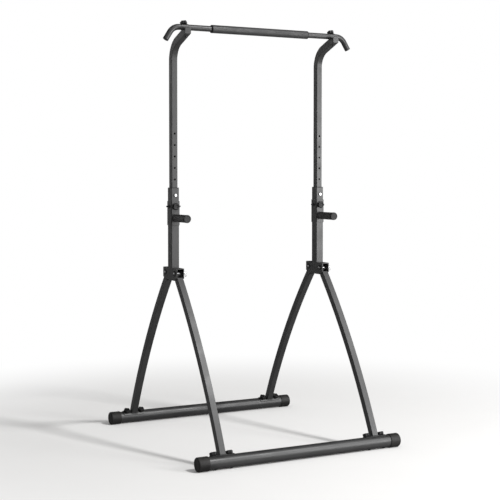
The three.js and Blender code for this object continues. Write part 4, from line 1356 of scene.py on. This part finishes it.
sleeveShape, dipGrip = sleeveShells(sleeveLook), gripShells(dipGripLook)
dipCap, screw = dipCapShells(sleeveLook), sideScrewShells(screwLook, sleeveLook, threadLook)
sleeveStud = studShell(knobLook["studRadius"], sleeveLook["stud"], threadLook)
sleeveKnob = [starShell(knobLook, False), sleeveStud]
forward = turnX(quarterTurn)
for side, sign in sides:
    x = sign * station["postX"]
    handle = (x, 0, sleeveLook["handleZ"])
    front = (x, -sleeveLook["depth"] / 2 - station["clear"], sleeveLook["knobZ"])
    dress(f"dip_sleeve_{side}", moved(sleeveShape, None, (x, 0, 0)))
    dress(f"dip_grip_{side}", moved(dipGrip, forward, handle), "black_plastic")
    dress(f"dip_cap_{side}", moved(dipCap, forward, handle))
    dress(f"sleeve_knob_{side}", moved(sleeveKnob, forward, front), "dark_bolt")
    for place, turn in (("outer", sign), ("inner", -sign)):
        dress(f"sleeve_screw_{side}_{place}",
              moved(screw, turnY(turn * quarterTurn), (x, 0, sleeveLook["knobZ"])))
print("dip handles made")


# floor, world and lamps, in metres
floorLook = {
    "half": 40.0, "near": (0.845, 0.839, 0.830), "cloud": 0.01, "cloudScale": 3.0,
    "cloudDetail": 2.0, "rough": 0.9, "shine": 0.1, "fadeStart": 1.0, "fadeEnd": 2.8,
}


# one where a ray of any of these kinds asks, else zero
def seenIn(tree, *kinds):
    light = nodeIn(tree, "ShaderNodeLightPath").outputs
    seen = light[kinds[0]]
    for kind in kinds[1:]:
        seen = mathIn(tree, "MAXIMUM", seen, light[kind])
    return seen


# a pale floor that fades into the white background away from the station
def makeFloor(look):
    h = look["half"]
    mesh = bpy.data.meshes.new("studioFloor")
    mesh.from_pydata([(-h, -h, 0), (h, -h, 0), (h, h, 0), (-h, h, 0)], [], [(0, 1, 2, 3)])
    floor = put("studioFloor", mesh)
    material, tree, shader = startMaterial("paleFloor")
    place = objectPlaceIn(tree)
    cloud = noiseIn(tree, look["cloudScale"], look["cloudDetail"], place=place)
    darker, paler = (
        tuple(c + step for c in look["near"]) for step in (-look["cloud"], look["cloud"])
    )
    feed(shader, {
        "Base Color": mixIn(tree, cloud, darker, paler), "Roughness": look["rough"],
        "Specular IOR Level": look["shine"],
    })
    distance = nodeIn(tree, "ShaderNodeVectorMath", {0: place}, operation="LENGTH")
    far = rangeIn(tree, distance.outputs["Value"], look["fadeStart"], look["fadeEnd"])
    mask = mathIn(tree, "MULTIPLY", far, seenIn(tree, "Is Camera Ray", "Is Glossy Ray"))
    white = nodeIn(tree, "ShaderNodeEmission").outputs[0]
    mix = nodeIn(tree, "ShaderNodeMixShader", {0: mask, 1: shader.outputs[0], 2: white})
    feed(tree.nodes["Material Output"], {"Surface": mix.outputs[0]})
    mesh.materials.append(material)


lampLook = {
    "ambient": 0.42,
    "key": {
        "from": (0.357, -0.5625, 0.746), "away": 12.0, "target": (0, 0, 0.5), "size": 1.54,
        "power": 905.0,
    },
    "panel": {
        "place": (2.95, -4.3, 1.5), "target": (0, 0, 1.3), "width": 1.5, "height": 2.9,
        "power": 190.0,
    },
}
clothLook = {
    "radius": 7.5, "begin": 30.0, "finish": 258.0, "height": 5.0, "around": 99, "upwards": 19,
    "grey": 0.07, "low": 0.32, "bandAt": 117.0, "bandWidth": 17.0, "bandGrey": 0.95,
    "bandLow": 0.35, "bandRise": 2.4, "clothBack": -0.60, "clothSide": -0.45, "lift": 0.0004,
    "inside": 0.1, "overFront": -1.3,
}


# a white world: full for the camera and for gloss, dimmer where it lights the station
def makeWorld(ambient):
    world = bpy.data.worlds.new("studio")
    world.use_nodes = True
    tree = world.node_tree
    seen = seenIn(tree, "Is Camera Ray", "Is Glossy Ray", "Is Transmission Ray")
    strength = rangeIn(tree, seen, 0.0, 1.0, ambient, 1.0, "LINEAR")
    feed(tree.nodes["Background"], {"Color": (1, 1, 1, 1), "Strength": strength})
    scene.world = world


# a round lamp, or a rectangular one where it has a height
def makeLamp(name, place, target, power, width, height=None):
    data = bpy.data.lights.new(name, "AREA")
    data.energy = power
    data.shape = "RECTANGLE" if height else "DISK"
    data.size = width
    if height:
        data.size_y = height
    aim(put(name, data), place, Vector(target) - Vector(place))


# dark cloth that only the object's gloss sees, as flags stand round a dark piece in a
# studio: it keeps the edges of the paint from washing out against the white. A curtain
# stands behind and to the left, paler in one upright band, a cloth lies on the floor and
# another hangs level over the station
def makeDarkCloth(look):
    around, upwards, tall = look["around"], look["upwards"], look["height"]
    swing, height = np.meshgrid(
        np.radians(np.linspace(look["begin"], look["finish"], around)),
        np.linspace(0, tall, upwards),
    )
    band = np.exp(-(((np.degrees(swing) - look["bandAt"]) / look["bandWidth"]) ** 2))
    rise = look["bandLow"] + (1 - look["bandLow"]) * np.clip(height / look["bandRise"], 0, 1)
    pale = look["grey"] + (look["bandGrey"] - look["grey"]) * band * rise
    curtain = aboutZ(look["radius"], swing, height).reshape(-1, 3)
    first = (np.arange(upwards - 1)[:, None] * around + np.arange(around - 1)).ravel()
    faces = np.stack([first, first + around, first + around + 1, first + 1], -1)
    far, back, side = look["radius"] - look["inside"], look["clothBack"], look["clothSide"]
    over = look["overFront"]
    lying = [(-far, -far), (side, -far), (side, back), (-far, back)]
    lying += [(far, back), (far, far), (-far, far)]
    hanging = [(-far, over), (far, over), (far, far), (-far, far)]
    cloths = [(x, y, look["lift"]) for x, y in lying] + [(x, y, tall) for x, y in hanging]
    level = np.array([(0, 1, 2, 3), (3, 4, 5, 6), (7, 8, 9, 10)]) + len(curtain)
    mesh = bpy.data.meshes.new("darkCloth")
    mesh.from_pydata([*curtain.tolist(), *cloths], [], [*faces.tolist(), *level.tolist()])
    shade = mesh.attributes.new("shade", "FLOAT", "POINT")
    greys = [look["low"]] * len(lying) + [look["grey"]] * len(hanging)
    shade.data.foreach_set("value", np.concatenate([pale.ravel(), greys]))
    hung = put("darkCloth", mesh)
    material, tree, shader = startMaterial("darkCloth")
    tone = nodeIn(tree, "ShaderNodeAttribute", attribute_name="shade").outputs["Color"]
    feed(shader, {"Base Color": tone, "Roughness": 1.0, "Specular IOR Level": 0.0})
    mesh.materials.append(material)
    for kind in ("camera", "diffuse", "transmission", "volume_scatter", "shadow"):
        setattr(hung, "visible_" + kind, False)


makeFloor(floorLook)
makeDarkCloth(clothLook)
makeWorld(lampLook["ambient"])
key, panel = lampLook["key"], lampLook["panel"]
keyPlace = tuple(np.array(key["from"]) * key["away"] + key["target"])
makeLamp("keyLamp", keyPlace, key["target"], key["power"], key["size"])
makeLamp("tallPanel", panel["place"], panel["target"], panel["power"], panel["width"],
         panel["height"])
print("studio made")
